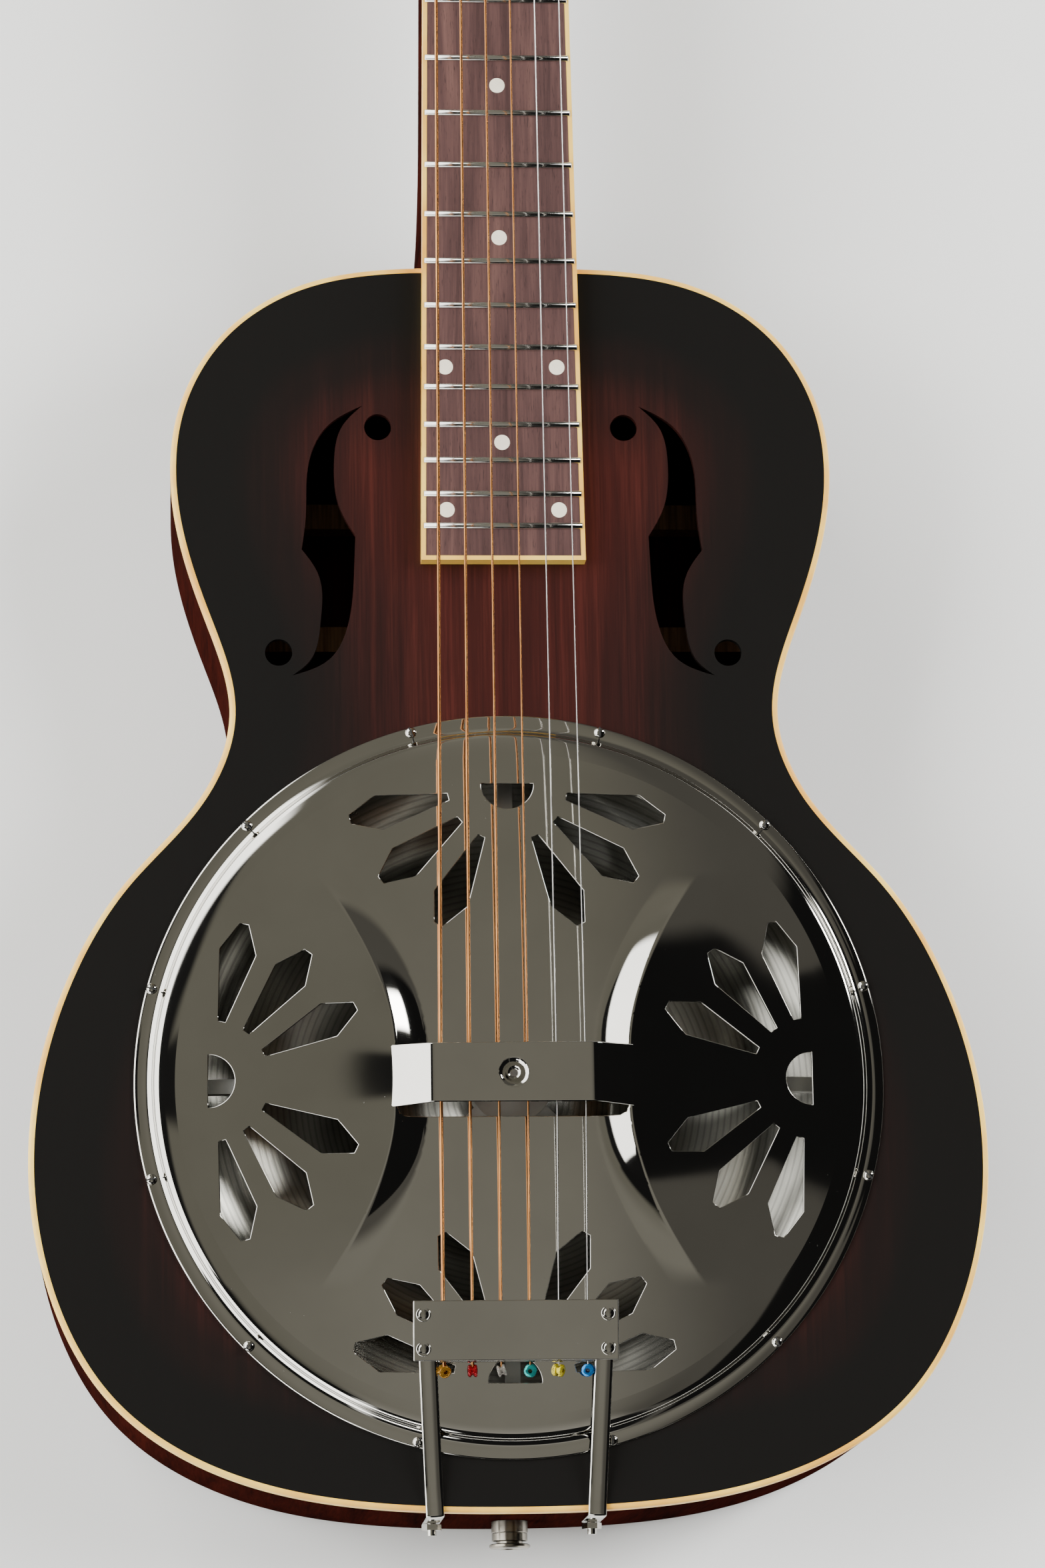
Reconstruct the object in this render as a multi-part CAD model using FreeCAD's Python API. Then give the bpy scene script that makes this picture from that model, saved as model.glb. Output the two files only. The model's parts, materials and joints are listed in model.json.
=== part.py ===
import FreeCAD, Part
import math
import os
from FreeCAD import Vector

# Square-neck resonator guitar lying on its back.
# X runs to the treble side, Y along the neck to the headstock, Z up out of the soundboard.
# The origin is on the back, straight below the centre of the cone. Lengths are in millimetres.

# ---- body ----
DEPTH = 85.0
PLATE_T = 3.0
SIDE_T = 3.2
BIND_W = 2.2
BIND_H = 5.5
LINING_W = 6.0
LINING_H = 8.0
BODY_TOP = 318.9
BODY_TAIL = -160.3
HALF_OUTLINE = [
    (0.0, BODY_TOP), (46.0, 318.2), (77.0, 311.8), (106.5, 292.5), (124.2, 260.5), (126.6, 228.6),
    (114.5, 181.2), (104.6, 141.0), (116.5, 108.5), (143.6, 77.5), (167.2, 36.5), (179.8, -20.0),
    (174.8, -69.2), (149.2, -118.8), (103.0, -147.8), (52.0, -158.3), (0.0, BODY_TAIL),
]
BLOCK_HALF = 45.0
NECK_BLOCK_T = 36.0
WELL_RI = 134.5
WELL_RO = 143.0
LEDGE_R = 127.0
LEDGE_Z = 72.0

# ---- cone, spider, saddle ----
CONE_R = 133.5
CONE_T = 0.8
TROUGH_R = 48.0
TROUGH_Z = 34.0
APEX_Z = 66.0
SADDLE_Z = DEPTH + 20.5
SADDLE_SPREAD = 27.0

# ---- cover plate ----
COVER_R = 141.0
SHEET = 1.2
DOME_R = 128.5
DOME_SPAN = 130.5
DOME_EDGE = 5.2
DOME_CROWN = 14.0
PRESS_T = 1.6
LOBE_H = 5.6
LOBE_HALF = 78.0
LOBE_OUT = 122.0
LOBE_WALL = 13.0
GUARD_H = 27.0
GUARD_FLAT = 30.0
GUARD_HALF = 43.6
GUARD_W = 22.0
HATCH_X = 43.0
SCREW_CIRCLE = 138.9
SCREWS = 12

# ---- neck ----
SCALE = 635.0
NUT_Y = 637.0
BOARD_T = 7.0
BOARD_END = 200.5
BOARD_BIND = 1.7
HALF_AT_12 = 29.9
HALF_SLOPE = 0.013
FRETS = 19
FRET_H = 1.0
NUT_T = 5.0
NUT_Z = DEPTH + BOARD_T + 9.0
NUT_SPREAD = 22.25
NECK_D = 34.0
HEAD_ANGLE = 12.0
HEAD_LEN = 172.0
HEAD_T = 14.5
VENEER = 1.5
HEAD_Y = NUT_Y + NUT_T + 1.0

# ---- tuners ----
POST_V = (38.0, 80.0, 122.0)
POST_U = (26.5, 28.0, 29.5)
POST_R = 3.1
WORM_GAP = 9.9
GEAR_TEETH = 14
RUN = 0.05

# ---- strings, thickest first ----
STRING_R = (0.71, 0.58, 0.46, 0.36, 0.23, 0.20)
BALL_Y = -109.3
BALL_Z = DEPTH + 11.0
BALL_R = 2.1
TAIL_Y0 = -83.5
TAIL_Y1 = -105.5
TAIL_HALF = 38.0
JACK_Z = DEPTH - 42.0
STRIP_HALF = 7.0
LEG_TOP_X = 33.4
LEG_END_X = 30.0
LEG_W = 6.6
LEG_T = 1.5
BOLT_Z = DEPTH - 28.0


def box(x0, x1, y0, y1, z0, z1):
    return Part.makeBox(x1 - x0, y1 - y0, z1 - z0, Vector(x0, y0, z0))


def rod(radius, start, end):
    line = end - start
    return Part.makeCylinder(radius, line.Length, start, line)


def cyl(radius, x, y, z0, z1):
    return rod(radius, Vector(x, y, z0), Vector(x, y, z1))


def ring(ri, ro, z0, z1):
    return cyl(ro, 0, 0, z0, z1).cut(cyl(ri, 0, 0, z0 - 1, z1 + 1))


def prism(points, z0, z1):
    closed = [Vector(x, y, z0) for x, y in points]
    closed.append(closed[0])
    return Part.Face(Part.makePolygon(closed)).extrude(Vector(0, 0, z1 - z0))


def profile_x(points, half):
    """Solid whose (y, z) profile runs across the guitar from -half to half."""
    closed = [Vector(-half, y, z) for y, z in points]
    closed.append(closed[0])
    return Part.Face(Part.makePolygon(closed)).extrude(Vector(2 * half, 0, 0))


def revolve(points):
    closed = [Vector(r, 0, z) for r, z in points]
    closed.append(closed[0])
    face = Part.Face(Part.makePolygon(closed))
    return face.revolve(Vector(0, 0, 0), Vector(0, 0, 1), 360)


def joined(shapes):
    whole = shapes[0]
    if len(shapes) > 1:
        whole = whole.multiFuse(shapes[1:])
    return whole.removeSplitter()


def spline(points, first, last):
    curve = Part.BSplineCurve()
    curve.interpolate(Points=points, InitialTangent=first, FinalTangent=last)
    return curve


def smooth(t):
    t = min(1.0, max(0.0, t))
    return t * t * (3 - 2 * t)


def mirrored(shape):
    return shape.mirror(Vector(0, 0, 0), Vector(1, 0, 0))


def save(name, shape):
    solids = shape.Solids
    out = solids[0] if len(solids) == 1 else Part.makeCompound(solids)
    out.exportStep("parts/" + name + ".step")
    b = out.optimalBoundingBox(False, False)
    print(name, len(solids), out.isValid(), round(out.Volume),
          [round(v, 1) for v in (b.XMin, b.XMax, b.YMin, b.YMax, b.ZMin, b.ZMax)])


# ---- body outline ----
def closed_curve(points):
    curve = Part.BSplineCurve()
    curve.interpolate(Points=points, PeriodicFlag=True)
    return curve


def body_wire(inset, z):
    right = [Vector(x, y, z) for x, y in HALF_OUTLINE]
    left = [Vector(-p.x, p.y, p.z) for p in right[-2:0:-1]]
    base = closed_curve(right + left)
    if inset == 0:
        return Part.Wire([base.toShape()])
    steps = 96
    run = []
    for i in range(steps):
        u = base.FirstParameter + (base.LastParameter - base.FirstParameter) * i / steps
        t = base.tangent(u)[0]
        run.append(base.value(u) + Vector(t.y, -t.x, 0) * inset)
    return Part.Wire([closed_curve(run).toShape()])


def body_prism(inset, z0, z1):
    return Part.Face(body_wire(inset, z0)).extrude(Vector(0, 0, z1 - z0))


def body_ring(outer, inner, z0, z1):
    face = Part.Face([body_wire(outer, z0), body_wire(inner, z0)], "Part::FaceMakerBullseye")
    return face.extrude(Vector(0, 0, z1 - z0))


# ---- f-holes ----
F_OUTER = [(53.2, 263.4), (67.1, 254.9), (74.0, 240.5), (75.2, 220.0), (76.9, 206.3)]
F_OUTER_LOW = [(76.9, 206.3), (70.6, 196.5), (69.8, 178.0), (74.0, 162.6), (80.8, 156.8)]
F_INNER_LOW = [(80.8, 156.8), (66.3, 163.4), (59.2, 177.5), (56.9, 197.0), (56.3, 211.8)]
F_INNER = [(56.3, 211.8), (62.3, 223.0), (64.3, 240.0), (61.2, 254.9), (53.2, 263.4)]
F_CIRCLES = [(47.4, 254.8), (85.9, 165.8)]
F_CIRCLE_R = 5.2


def f_hole():
    edges = []
    for run in (F_OUTER, F_OUTER_LOW, F_INNER_LOW, F_INNER):
        curve = Part.BSplineCurve()
        curve.interpolate([Vector(x, y, DEPTH - 10) for x, y in run])
        edges.append(curve.toShape())
    cut = Part.Face(Part.Wire(edges)).extrude(Vector(0, 0, 20))
    parts = [cut] + [cyl(F_CIRCLE_R, x, y, DEPTH - 10, DEPTH + 10) for x, y in F_CIRCLES]
    return Part.makeCompound(parts)


def cover_screw_spots():
    for k in range(SCREWS):
        a = math.radians(15 + 360.0 / SCREWS * k)
        yield SCREW_CIRCLE * math.cos(a), SCREW_CIRCLE * math.sin(a)


def screw_holes(radius, z0, z1):
    return Part.makeCompound([cyl(radius, x, y, z0, z1) for x, y in cover_screw_spots()])


def tail_holes():
    jack = rod(6.2, Vector(0, -175, JACK_Z), Vector(0, -120, JACK_Z))
    bolts = [rod(1.85, Vector(s * LEG_END_X, -175, BOLT_Z), Vector(s * LEG_END_X, -146, BOLT_Z)) for s in (-1, 1)]
    return Part.makeCompound([jack] + bolts)


NECK_BOLT_Z = (28.0, 58.0)


def neck_bolt_holes(radius):
    y0 = BODY_TOP - NECK_BLOCK_T - 10
    return Part.makeCompound(
        [rod(radius, Vector(0, y0, z), Vector(0, BODY_TOP + 27, z)) for z in NECK_BOLT_Z])


def build_body():
    inner_top = DEPTH - PLATE_T
    side = body_ring(0, SIDE_T, PLATE_T, DEPTH - BIND_H)
    side = side.fuse(body_ring(BIND_W, SIDE_T, DEPTH - BIND_H, inner_top))
    side = side.cut(tail_holes())
    strip = side.common(box(-STRIP_HALF + RUN, STRIP_HALF - RUN, -300, 0, 0, DEPTH))
    save("tail_strip", strip)
    side = side.cut(box(-STRIP_HALF, STRIP_HALF, -300, 0, 0, DEPTH)).cut(box(-3.4, 3.4, 0, 400, 0, DEPTH))
    save("side_bass", side.common(box(-300, 0, -300, 400, 0, DEPTH)))
    save("side_treble", side.common(box(0, 300, -300, 400, 0, DEPTH)))
    save("back_plate", body_prism(0, 0, PLATE_T))
    save("top_binding", body_ring(0, BIND_W, DEPTH - BIND_H, DEPTH))

    board = body_prism(BIND_W, inner_top, DEPTH)
    board = board.cut(cyl(WELL_RI, 0, 0, 0, 200))
    hole = f_hole()
    board = board.cut(hole).cut(mirrored(hole)).cut(screw_holes(1.3, 70, 90))
    save("soundboard", board)

    inside = body_prism(SIDE_T, PLATE_T, inner_top)
    neck_block = box(-BLOCK_HALF, BLOCK_HALF, BODY_TOP - NECK_BLOCK_T, BODY_TOP, PLATE_T, inner_top)
    neck_block = neck_block.common(inside)
    tail_block = box(-BLOCK_HALF, BLOCK_HALF, BODY_TAIL, -125, PLATE_T, inner_top)
    tail_block = tail_block.common(inside).cut(cyl(WELL_RO, 0, 0, 0, 200))
    lining = body_ring(SIDE_T, SIDE_T + LINING_W, inner_top - LINING_H, inner_top)
    save("top_lining", lining.cut(neck_block).cut(tail_block))
    lining = body_ring(SIDE_T, SIDE_T + LINING_W, PLATE_T, PLATE_T + LINING_H)
    save("back_lining", lining.cut(neck_block).cut(tail_block))
    save("neck_block", neck_block.cut(neck_bolt_holes(3.2)))
    save("tail_block", tail_block.cut(tail_holes()))

    well = ring(WELL_RI, WELL_RO, PLATE_T, inner_top).fuse(ring(LEDGE_R, WELL_RI + 1, LEDGE_Z - 6, LEDGE_Z))
    well = well.cut(screw_holes(1.25, 74, 90)).cut(tail_holes())
    for k in range(8):
        window = box(LEDGE_R, WELL_RO + 5, -24, 24, 22, 52)
        window = window.makeFillet(8, [e for e in window.Edges if abs(e.tangentAt(0).x) > 0.9])
        window.rotate(Vector(0, 0, 0), Vector(0, 0, 1), 22.5 + 45 * k)
        well = well.cut(window)
    save("soundwell", well.removeSplitter())

    room = body_prism(SIDE_T + LINING_W + 0.3, PLATE_T, inner_top)
    low = PLATE_T
    bars = []
    for y in (238.0, 188.0):
        bars.append(box(-130, 130, y - 5, y + 5, low, low + 11).common(room))
    for y in (62.0, 0.0, -62.0):
        half = math.sqrt((WELL_RI - 1) ** 2 - (abs(y) + 5) ** 2)
        bars.append(box(-half, half, y - 5, y + 5, low, low + 11))
    save("back_braces", Part.makeCompound(bars))
    bars = [box(-120, 120, 270, 278, inner_top - 12, inner_top).common(room)]
    for s in (-1, 1):
        x = s * 34
        bars.append(box(x - 3.5, x + 3.5, 146, 270, inner_top - 12, inner_top))
    save("top_braces", Part.makeCompound(bars))


def build_cone():
    rim = LEDGE_Z
    top = [(CONE_R, rim + CONE_T), (126.0, rim + CONE_T), (124.6, rim - 1.0),
           (TROUGH_R + 8, TROUGH_Z + 2.5), (TROUGH_R + 5, TROUGH_Z + CONE_T), (TROUGH_R - 5, TROUGH_Z + CONE_T),
           (TROUGH_R - 8, TROUGH_Z + 2.5), (11.0, APEX_Z), (2.2, APEX_Z)]
    low = [(2.2, APEX_Z - CONE_T), (10.6, APEX_Z - CONE_T), (TROUGH_R - 8.8, TROUGH_Z + 2.2),
           (TROUGH_R - 5.6, TROUGH_Z), (TROUGH_R + 5.6, TROUGH_Z), (TROUGH_R + 8.8, TROUGH_Z + 2.2),
           (125.4, rim - 1.2), (126.4, rim), (CONE_R, rim)]
    save("cone", revolve(top + low))

    hub_top = DEPTH + 5.0
    foot = rim + CONE_T
    legs = []
    for k in range(8):
        leg = profile_x([(12, 80), (12, hub_top), (20, hub_top - 1), (118, foot + 4.5), (131, foot + 3),
                         (131, foot), (117, foot), (24, 80)], 2.75)
        leg.rotate(Vector(0, 0, 0), Vector(0, 0, 1), 45 * k)
        legs.append(leg)
    hub = cyl(16, 0, 0, 80, hub_top)
    boss = box(-31.5, 31.5, -6, 6, 84, DEPTH + 12)
    spider = joined([hub, boss] + legs)
    for s in (-1, 1):
        slot = box(5, 30.5, -1.6, 1.6, DEPTH + 4, DEPTH + 20)
        spider = spider.cut(slot if s > 0 else mirrored(slot))
    spider = spider.cut(cyl(2.2, 0, 0, 60, 120)).cut(cyl(4.2, 0, 0, DEPTH + 9, 120))
    save("spider", spider)
    saddle = profile_x([(-1.6, DEPTH + 4), (1.6, DEPTH + 4), (1.6, SADDLE_Z - 1.5), (0.6, SADDLE_Z),
                        (-0.6, SADDLE_Z), (-1.6, SADDLE_Z - 1.5)], 12.75)
    saddle.translate(Vector(17.75, 0, 0))
    save("saddle_inserts", Part.makeCompound([mirrored(saddle), saddle]))
    screw = cyl(2.0, 0, 0, APEX_Z - 8, DEPTH + 9).fuse(cyl(3.8, 0, 0, DEPTH + 9, DEPTH + 11.5))
    screw = screw.cut(box(-5, 5, -0.5, 0.5, DEPTH + 10.5, DEPTH + 13))
    save("tension_screw", screw)
    nut = prism([(4 * math.cos(math.radians(60 * k)), 4 * math.sin(math.radians(60 * k))) for k in range(6)],
                APEX_Z - CONE_T - 3.2, APEX_Z - CONE_T)
    save("tension_nut", nut.cut(cyl(2.0, 0, 0, 0, 100)))


# ---- cover plate ----
def crease(y):
    """Half width between the two raised shoulders at distance y from the hand guard's middle."""
    return GUARD_HALF + 22.0 * (max(y - GUARD_W / 2, 0.0) / 58.0) ** 1.8


def cover_height(x, y):
    """Height of the pressed plate above the soundboard: a dome with a low raised lobe on each side."""
    r = math.hypot(x, y)
    base = DOME_EDGE + (DOME_CROWN - DOME_EDGE) * (1 - min(1.0, r / DOME_SPAN) ** 2)
    x = abs(x)
    y = abs(y)
    crest = crease(y)
    foot = crest - LOBE_WALL
    if y >= LOBE_HALF or x <= foot:
        return base
    lift = LOBE_H * (1 - (y / LOBE_HALF) ** 2) ** 1.2
    if x < crest:
        return base + lift * ((x - foot) / LOBE_WALL) ** 1.6
    reach = math.sqrt(LOBE_OUT ** 2 - y ** 2)
    fall = min(1.0, (x - crest) / (reach - crest))
    return base + lift * (1 - fall) ** 2


def pressed_dome():
    n = 64
    span = DOME_R + 2
    grid = []
    for i in range(n + 1):
        x = -span + 2 * span * i / n
        grid.append([Vector(x, -span + 2 * span * j / n, DEPTH + cover_height(x, -span + 2 * span * j / n))
                     for j in range(n + 1)])
    surface = Part.BSplineSurface()
    surface.interpolate(grid)
    return surface.toShape().extrude(Vector(0, 0, -PRESS_T)).common(cyl(DOME_R, 0, 0, 60, 160))


def cover_cutouts():
    cuts = []
    c = 113.2
    for quarter in range(4):
        moon = cyl(10, c, 0, 60, 160).common(box(0, c, -20, 20, 60, 160))
        group = [moon]
        for a in (26, 52, 77):
            for s in (-1, 1):
                petal = prism([(23, -1.4), (50, -6.9), (61, -1.7), (61, 1.7), (50, 6.9), (23, 1.4)], 60, 160)
                petal.rotate(Vector(0, 0, 0), Vector(0, 0, 1), 180 + s * a)
                petal.translate(Vector(c, 0, 0))
                group.append(petal)
        for piece in group:
            piece.rotate(Vector(0, 0, 0), Vector(0, 0, 1), 90 * quarter)
            cuts.append(piece)
    return cuts


def build_cover():
    rim = [(COVER_R, 0), (COVER_R, SHEET), (136.8, SHEET), (135.9, 1.32), (135.0, 1.68), (134.25, 2.25),
           (133.68, 3.0), (132.9, 3.93), (132.1, 4.45), (131.4, 4.69), (130.0, 5.02), (128.0, 5.42),
           (128.0, 3.84), (130.2, 3.4), (131.2, 3.1), (131.9, 2.6), (132.4, 2.0), (132.9, 1.2), (133.6, 0.5),
           (134.3, 0)]
    rim = revolve([(r, z + DEPTH) for r, z in rim])
    dome = pressed_dome()
    hatch = box(-HATCH_X, HATCH_X, -14.7, 12, 80, DEPTH + 26)
    hatch = hatch.makeFillet(3, [e for e in hatch.Edges if abs(e.tangentAt(0).z) > 0.9])
    dome = dome.cut(hatch)
    for piece in cover_cutouts():
        dome = dome.cut(piece)
    top = DEPTH + GUARD_H
    arch = [(GUARD_FLAT, 0), (32, 0.4), (34, 1.5), (44.6, 8.8), (48, 10.0)]
    upper = [Vector(x, 0, top - drop) for x, drop in arch]
    upper = [Vector(-p.x, 0, p.z) for p in reversed(upper)] + upper
    lower = [Vector(p.x, 0, p.z - 1.6) for p in reversed(upper)]
    strap = upper + lower + [upper[0]]
    guard = Part.Face(Part.makePolygon(strap)).extrude(Vector(0, GUARD_W, 0))
    guard.translate(Vector(0, -GUARD_W / 2, 0))
    cup = Part.makeCone(4.0, 7.0, 2.0, Vector(0, 0, top - 3.4))
    dimple = Part.makeCone(2.5, 5.8, 3.4, Vector(0, 0, top - 3.4))
    guard = guard.fuse(cup).cut(dimple)
    cover = joined([rim, dome, guard]).cut(screw_holes(1.35, 70, 100))
    save("cover_plate", cover)

    screws = []
    for x, y in cover_screw_spots():
        z = DEPTH + SHEET
        head = Part.makeSphere(3.2, Vector(x, y, z - 1.9)).common(cyl(2.6, x, y, z, z + 3))
        slot = box(-4, 4, -0.3, 0.3, z + 0.7, z + 3)
        slot.rotate(Vector(0, 0, 0), Vector(0, 0, 1), 40 + 25 * len(screws))
        slot.translate(Vector(x, y, 0))
        head = head.cut(cyl(137.05, 0, 0, z, z + 4))
        screws.append(cyl(1.2, x, y, z - 11, z).fuse(head).cut(slot))
    save("cover_screws", Part.makeCompound(screws))


# ---- neck ----
def half_width(y):
    fret12 = SCALE / 2 + 2
    return HALF_AT_12 + HALF_SLOPE * (fret12 - y)


def fret_y(n):
    return SCALE * 2 ** (-n / 12.0) + 2


V_DIR = Vector(0, math.cos(math.radians(HEAD_ANGLE)), -math.sin(math.radians(HEAD_ANGLE)))
W_DIR = Vector(0, math.sin(math.radians(HEAD_ANGLE)), math.cos(math.radians(HEAD_ANGLE)))


def head_point(u, v, w):
    """Point on the headstock: u across, v from the nut to the tip, w out of its face."""
    return Vector(u, HEAD_Y, DEPTH) + V_DIR * v + W_DIR * w


def on_head(shape):
    """Move a shape made in (u, v, w) onto the tilted headstock."""
    moved = shape.copy()
    moved.rotate(Vector(0, 0, 0), Vector(1, 0, 0), -HEAD_ANGLE)
    moved.translate(Vector(0, HEAD_Y, DEPTH))
    return moved


def head_plan():
    """Outline of the neck and headstock seen from above."""
    cos = math.cos(math.radians(HEAD_ANGLE))
    nut_half = half_width(NUT_Y)
    y0 = HEAD_Y
    tip = HEAD_Y + HEAD_LEN * cos
    right = [Part.makeLine(Vector(half_width(BODY_TOP), BODY_TOP, 0), Vector(nut_half, y0, 0))]
    flare = [Vector(nut_half, y0, 0), Vector(nut_half + 5.5, y0 + 10, 0), Vector(37.5, y0 + 21, 0)]
    right.append(Part.Arc(flare[0], flare[1], flare[2]).toShape())
    right.append(Part.makeLine(flare[2], Vector(40.5, tip - 16, 0)))
    crown = [Vector(40.5, tip - 16, 0), Vector(26, tip - 5, 0), Vector(0, tip, 0)]
    right.append(spline(crown, Vector(-0.2, 1, 0), Vector(-1, 0, 0)).toShape())
    left = [mirrored(e) for e in right]
    base = Part.makeLine(Vector(-half_width(BODY_TOP), BODY_TOP, 0), Vector(half_width(BODY_TOP), BODY_TOP, 0))
    wire = Part.Wire(Part.__sortEdges__(right + left + [base]))
    return Part.Face(wire).extrude(Vector(0, 0, 130))


def build_neck():
    plan = head_plan()
    low = DEPTH - NECK_D
    step = head_point(0, 0, -VENEER)
    tip_top = head_point(0, HEAD_LEN + 4, -VENEER)
    tip_low = head_point(0, HEAD_LEN + 4, -VENEER - HEAD_T)
    throat = head_point(0, 12, -VENEER - HEAD_T)
    pts = [Vector(0, y, z) for y, z in (
        (BODY_TOP, 5), (BODY_TOP, DEPTH), (step.y, DEPTH), (step.y, step.z), (tip_top.y, tip_top.z),
        (tip_low.y, tip_low.z), (throat.y, throat.z), (NUT_Y - 12, low + 4), (BODY_TOP + 62, low))]
    edges = [Part.makeLine(a, b) for a, b in zip(pts, pts[1:])]
    heel_end = Vector(0, BODY_TOP + 20, 5)
    edges.append(Part.Arc(pts[-1], Vector(0, BODY_TOP + 31, low - 14), heel_end).toShape())
    edges.append(Part.makeLine(heel_end, pts[0]))
    side = Part.Face(Part.Wire(edges)).extrude(Vector(100, 0, 0))
    side.translate(Vector(-50, 0, 0))
    body = body_prism(0, 0, DEPTH)
    body.translate(Vector(0, 0.12, 0))
    neck = plan.common(side).cut(body)
    bar_cavity = box(-4.1, 4.1, BODY_TOP + 12, NUT_Y - 4, DEPTH - 14.1, DEPTH + 1)
    neck = neck.cut(bar_cavity).cut(neck_bolt_holes(2.9))
    slab = on_head(box(-60, 60, 0, HEAD_LEN + 4, -VENEER, 0))
    veneer = plan.common(slab)
    for u, v in tuner_spots():
        hole = on_head(cyl(5.0, u, v, -30, 10))
        pilots = [cyl(1.2, u, v + dv, LOW - 2, LOW + 8) for dv in TUNER_SCREWS]
        neck = neck.cut(hole).cut(on_head(Part.makeCompound(pilots)))
        veneer = veneer.cut(hole)
    save("neck", neck)
    save("headstock_veneer", veneer)
    save("neck_bar", box(-4, 4, BODY_TOP + 12, NUT_Y - 4, DEPTH - 14, DEPTH))
    bolts = []
    for z in NECK_BOLT_Z:
        y = BODY_TOP - NECK_BLOCK_T
        bolt = rod(2.8, Vector(0, y, z), Vector(0, BODY_TOP + 26, z))
        head = rod(6.5, Vector(0, y - 4.5, z), Vector(0, y, z))
        hexagon = rod(3.0, Vector(0, y - 5, z), Vector(0, y - 2, z))
        bolts.append(bolt.fuse(head).cut(hexagon))
    save("neck_bolts", Part.makeCompound(bolts))


DOTS = {5: (0,), 7: (-21.5, 21.5), 9: (0,), 12: (0,), 15: (-21.5, 21.5), 17: (0,), 19: (-21.5, 21.5)}


def dot_y(n):
    return (fret_y(n) + fret_y(n - 1)) / 2


def board_prism(inset, end, z0, z1):
    a = half_width(end) - inset
    b = half_width(NUT_Y) - inset
    return prism([(-a, end), (a, end), (b, NUT_Y), (-b, NUT_Y)], z0, z1)


def build_board():
    z0 = DEPTH
    z1 = DEPTH + BOARD_T
    wood = board_prism(BOARD_BIND, BOARD_END + BOARD_BIND, z0, z1)
    trim = board_prism(0, BOARD_END, z0, z1).cut(wood)
    frets = []
    for n in range(1, FRETS + 1):
        y = fret_y(n)
        half = half_width(y) - 0.8
        crown = rod(1.7, Vector(-half, y, z1 - 0.7), Vector(half, y, z1 - 0.7))
        crown = crown.common(box(-40, 40, y - 1.2, y + 1.2, z1, z1 + 2))
        tang = box(-half + 2.5, half - 2.5, y - 0.25, y + 0.25, z1 - 1.8, z1)
        frets.append(crown.fuse(tang))
        wood = wood.cut(tang)
    dots = []
    for n, xs in DOTS.items():
        dots += [cyl(3.0, x, dot_y(n), z1 - 1.2, z1) for x in xs]
    side = []
    for n in DOTS:
        y = dot_y(n)
        x = -half_width(y)
        side.append(rod(1.0, Vector(x - 0.02, y, z1 - 3), Vector(x + 1.2, y, z1 - 3)))
    save("fretboard", wood.cut(Part.makeCompound(dots)))
    save("fretboard_binding", trim.cut(Part.makeCompound(side)))
    save("frets", Part.makeCompound(frets))
    save("fret_markers", Part.makeCompound(dots))
    save("side_markers", Part.makeCompound(side))
    nut = profile_x([(NUT_Y, DEPTH), (NUT_Y + NUT_T, DEPTH), (NUT_Y + NUT_T, NUT_Z - 1.2),
                     (NUT_Y + 2.5, NUT_Z), (NUT_Y + 1.0, NUT_Z), (NUT_Y, NUT_Z - 1.0)], half_width(NUT_Y))
    save("nut", nut)


# ---- tuners ----
def tuner_spots():
    for s in (-1, 1):
        for u, v in zip(POST_U, POST_V):
            yield s * u, v


LOW = -VENEER - HEAD_T
TUNER_SCREWS = (-15.2, 11.5)
AXIS_W = LOW - 5.7
LUG = 7.0


def tuner_plate(u, v):
    plate = box(u - 8, u + 8, v - 17, v + 14, LOW - 1.2, LOW)
    lugs = [box(u + s * LUG - 0.8, u + s * LUG + 0.8, v - WORM_GAP - 4.5, v - WORM_GAP + 4.5, AXIS_W - 4, LOW - 1)
            for s in (-1, 1)]
    plate = joined([plate] + lugs)
    plate = plate.cut(cyl(POST_R + RUN, u, v, -40, 0))
    shaft = rod(2.0 + RUN, Vector(u - 20, v - WORM_GAP, AXIS_W), Vector(u + 20, v - WORM_GAP, AXIS_W))
    holes = Part.makeCompound([cyl(1.25, u, v + dv, -40, 0) for dv in TUNER_SCREWS])
    return plate.cut(shaft).cut(holes)


def tuner_screws(u, v):
    screws = []
    for dv in TUNER_SCREWS:
        y = v + dv
        head = Part.makeSphere(2.6, Vector(u, y, LOW - 0.2)).common(cyl(2.3, u, y, LOW - 5, LOW - 1.2))
        screws.append(cyl(1.2, u, y, LOW - 1.3, LOW + 8).fuse(head))
    return screws


def worm_button(u, v):
    s = 1 if u > 0 else -1
    y = v - WORM_GAP
    w = AXIS_W
    out = 49.0
    shaft = rod(2.0, Vector(u - s * 8.6, y, w), Vector(s * (out + 4), y, w))
    worm = rod(2.5, Vector(u - s * 5.9, y, w), Vector(u + s * 5.9, y, w))
    rings = []
    for k in range(7):
        x = u - 5.1 + 1.7 * k
        rings.append(rod(2.8, Vector(x - 0.4, y, w), Vector(x + 0.4, y, w)))
    collar = rod(3.2, Vector(s * (out - 3), y, w), Vector(s * (out + 1), y, w))
    oval = Part.Ellipse(Vector(s * (out + 9), y, w - 3.4), 9.5, 6.5).toShape()
    button = Part.Face(Part.Wire([oval])).extrude(Vector(0, 0, 6.8))
    button = button.makeFillet(2.4, [e for e in button.Edges if abs(e.tangentAt(0).z) < 0.5])
    return joined([shaft, worm, collar, button] + rings)


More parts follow.
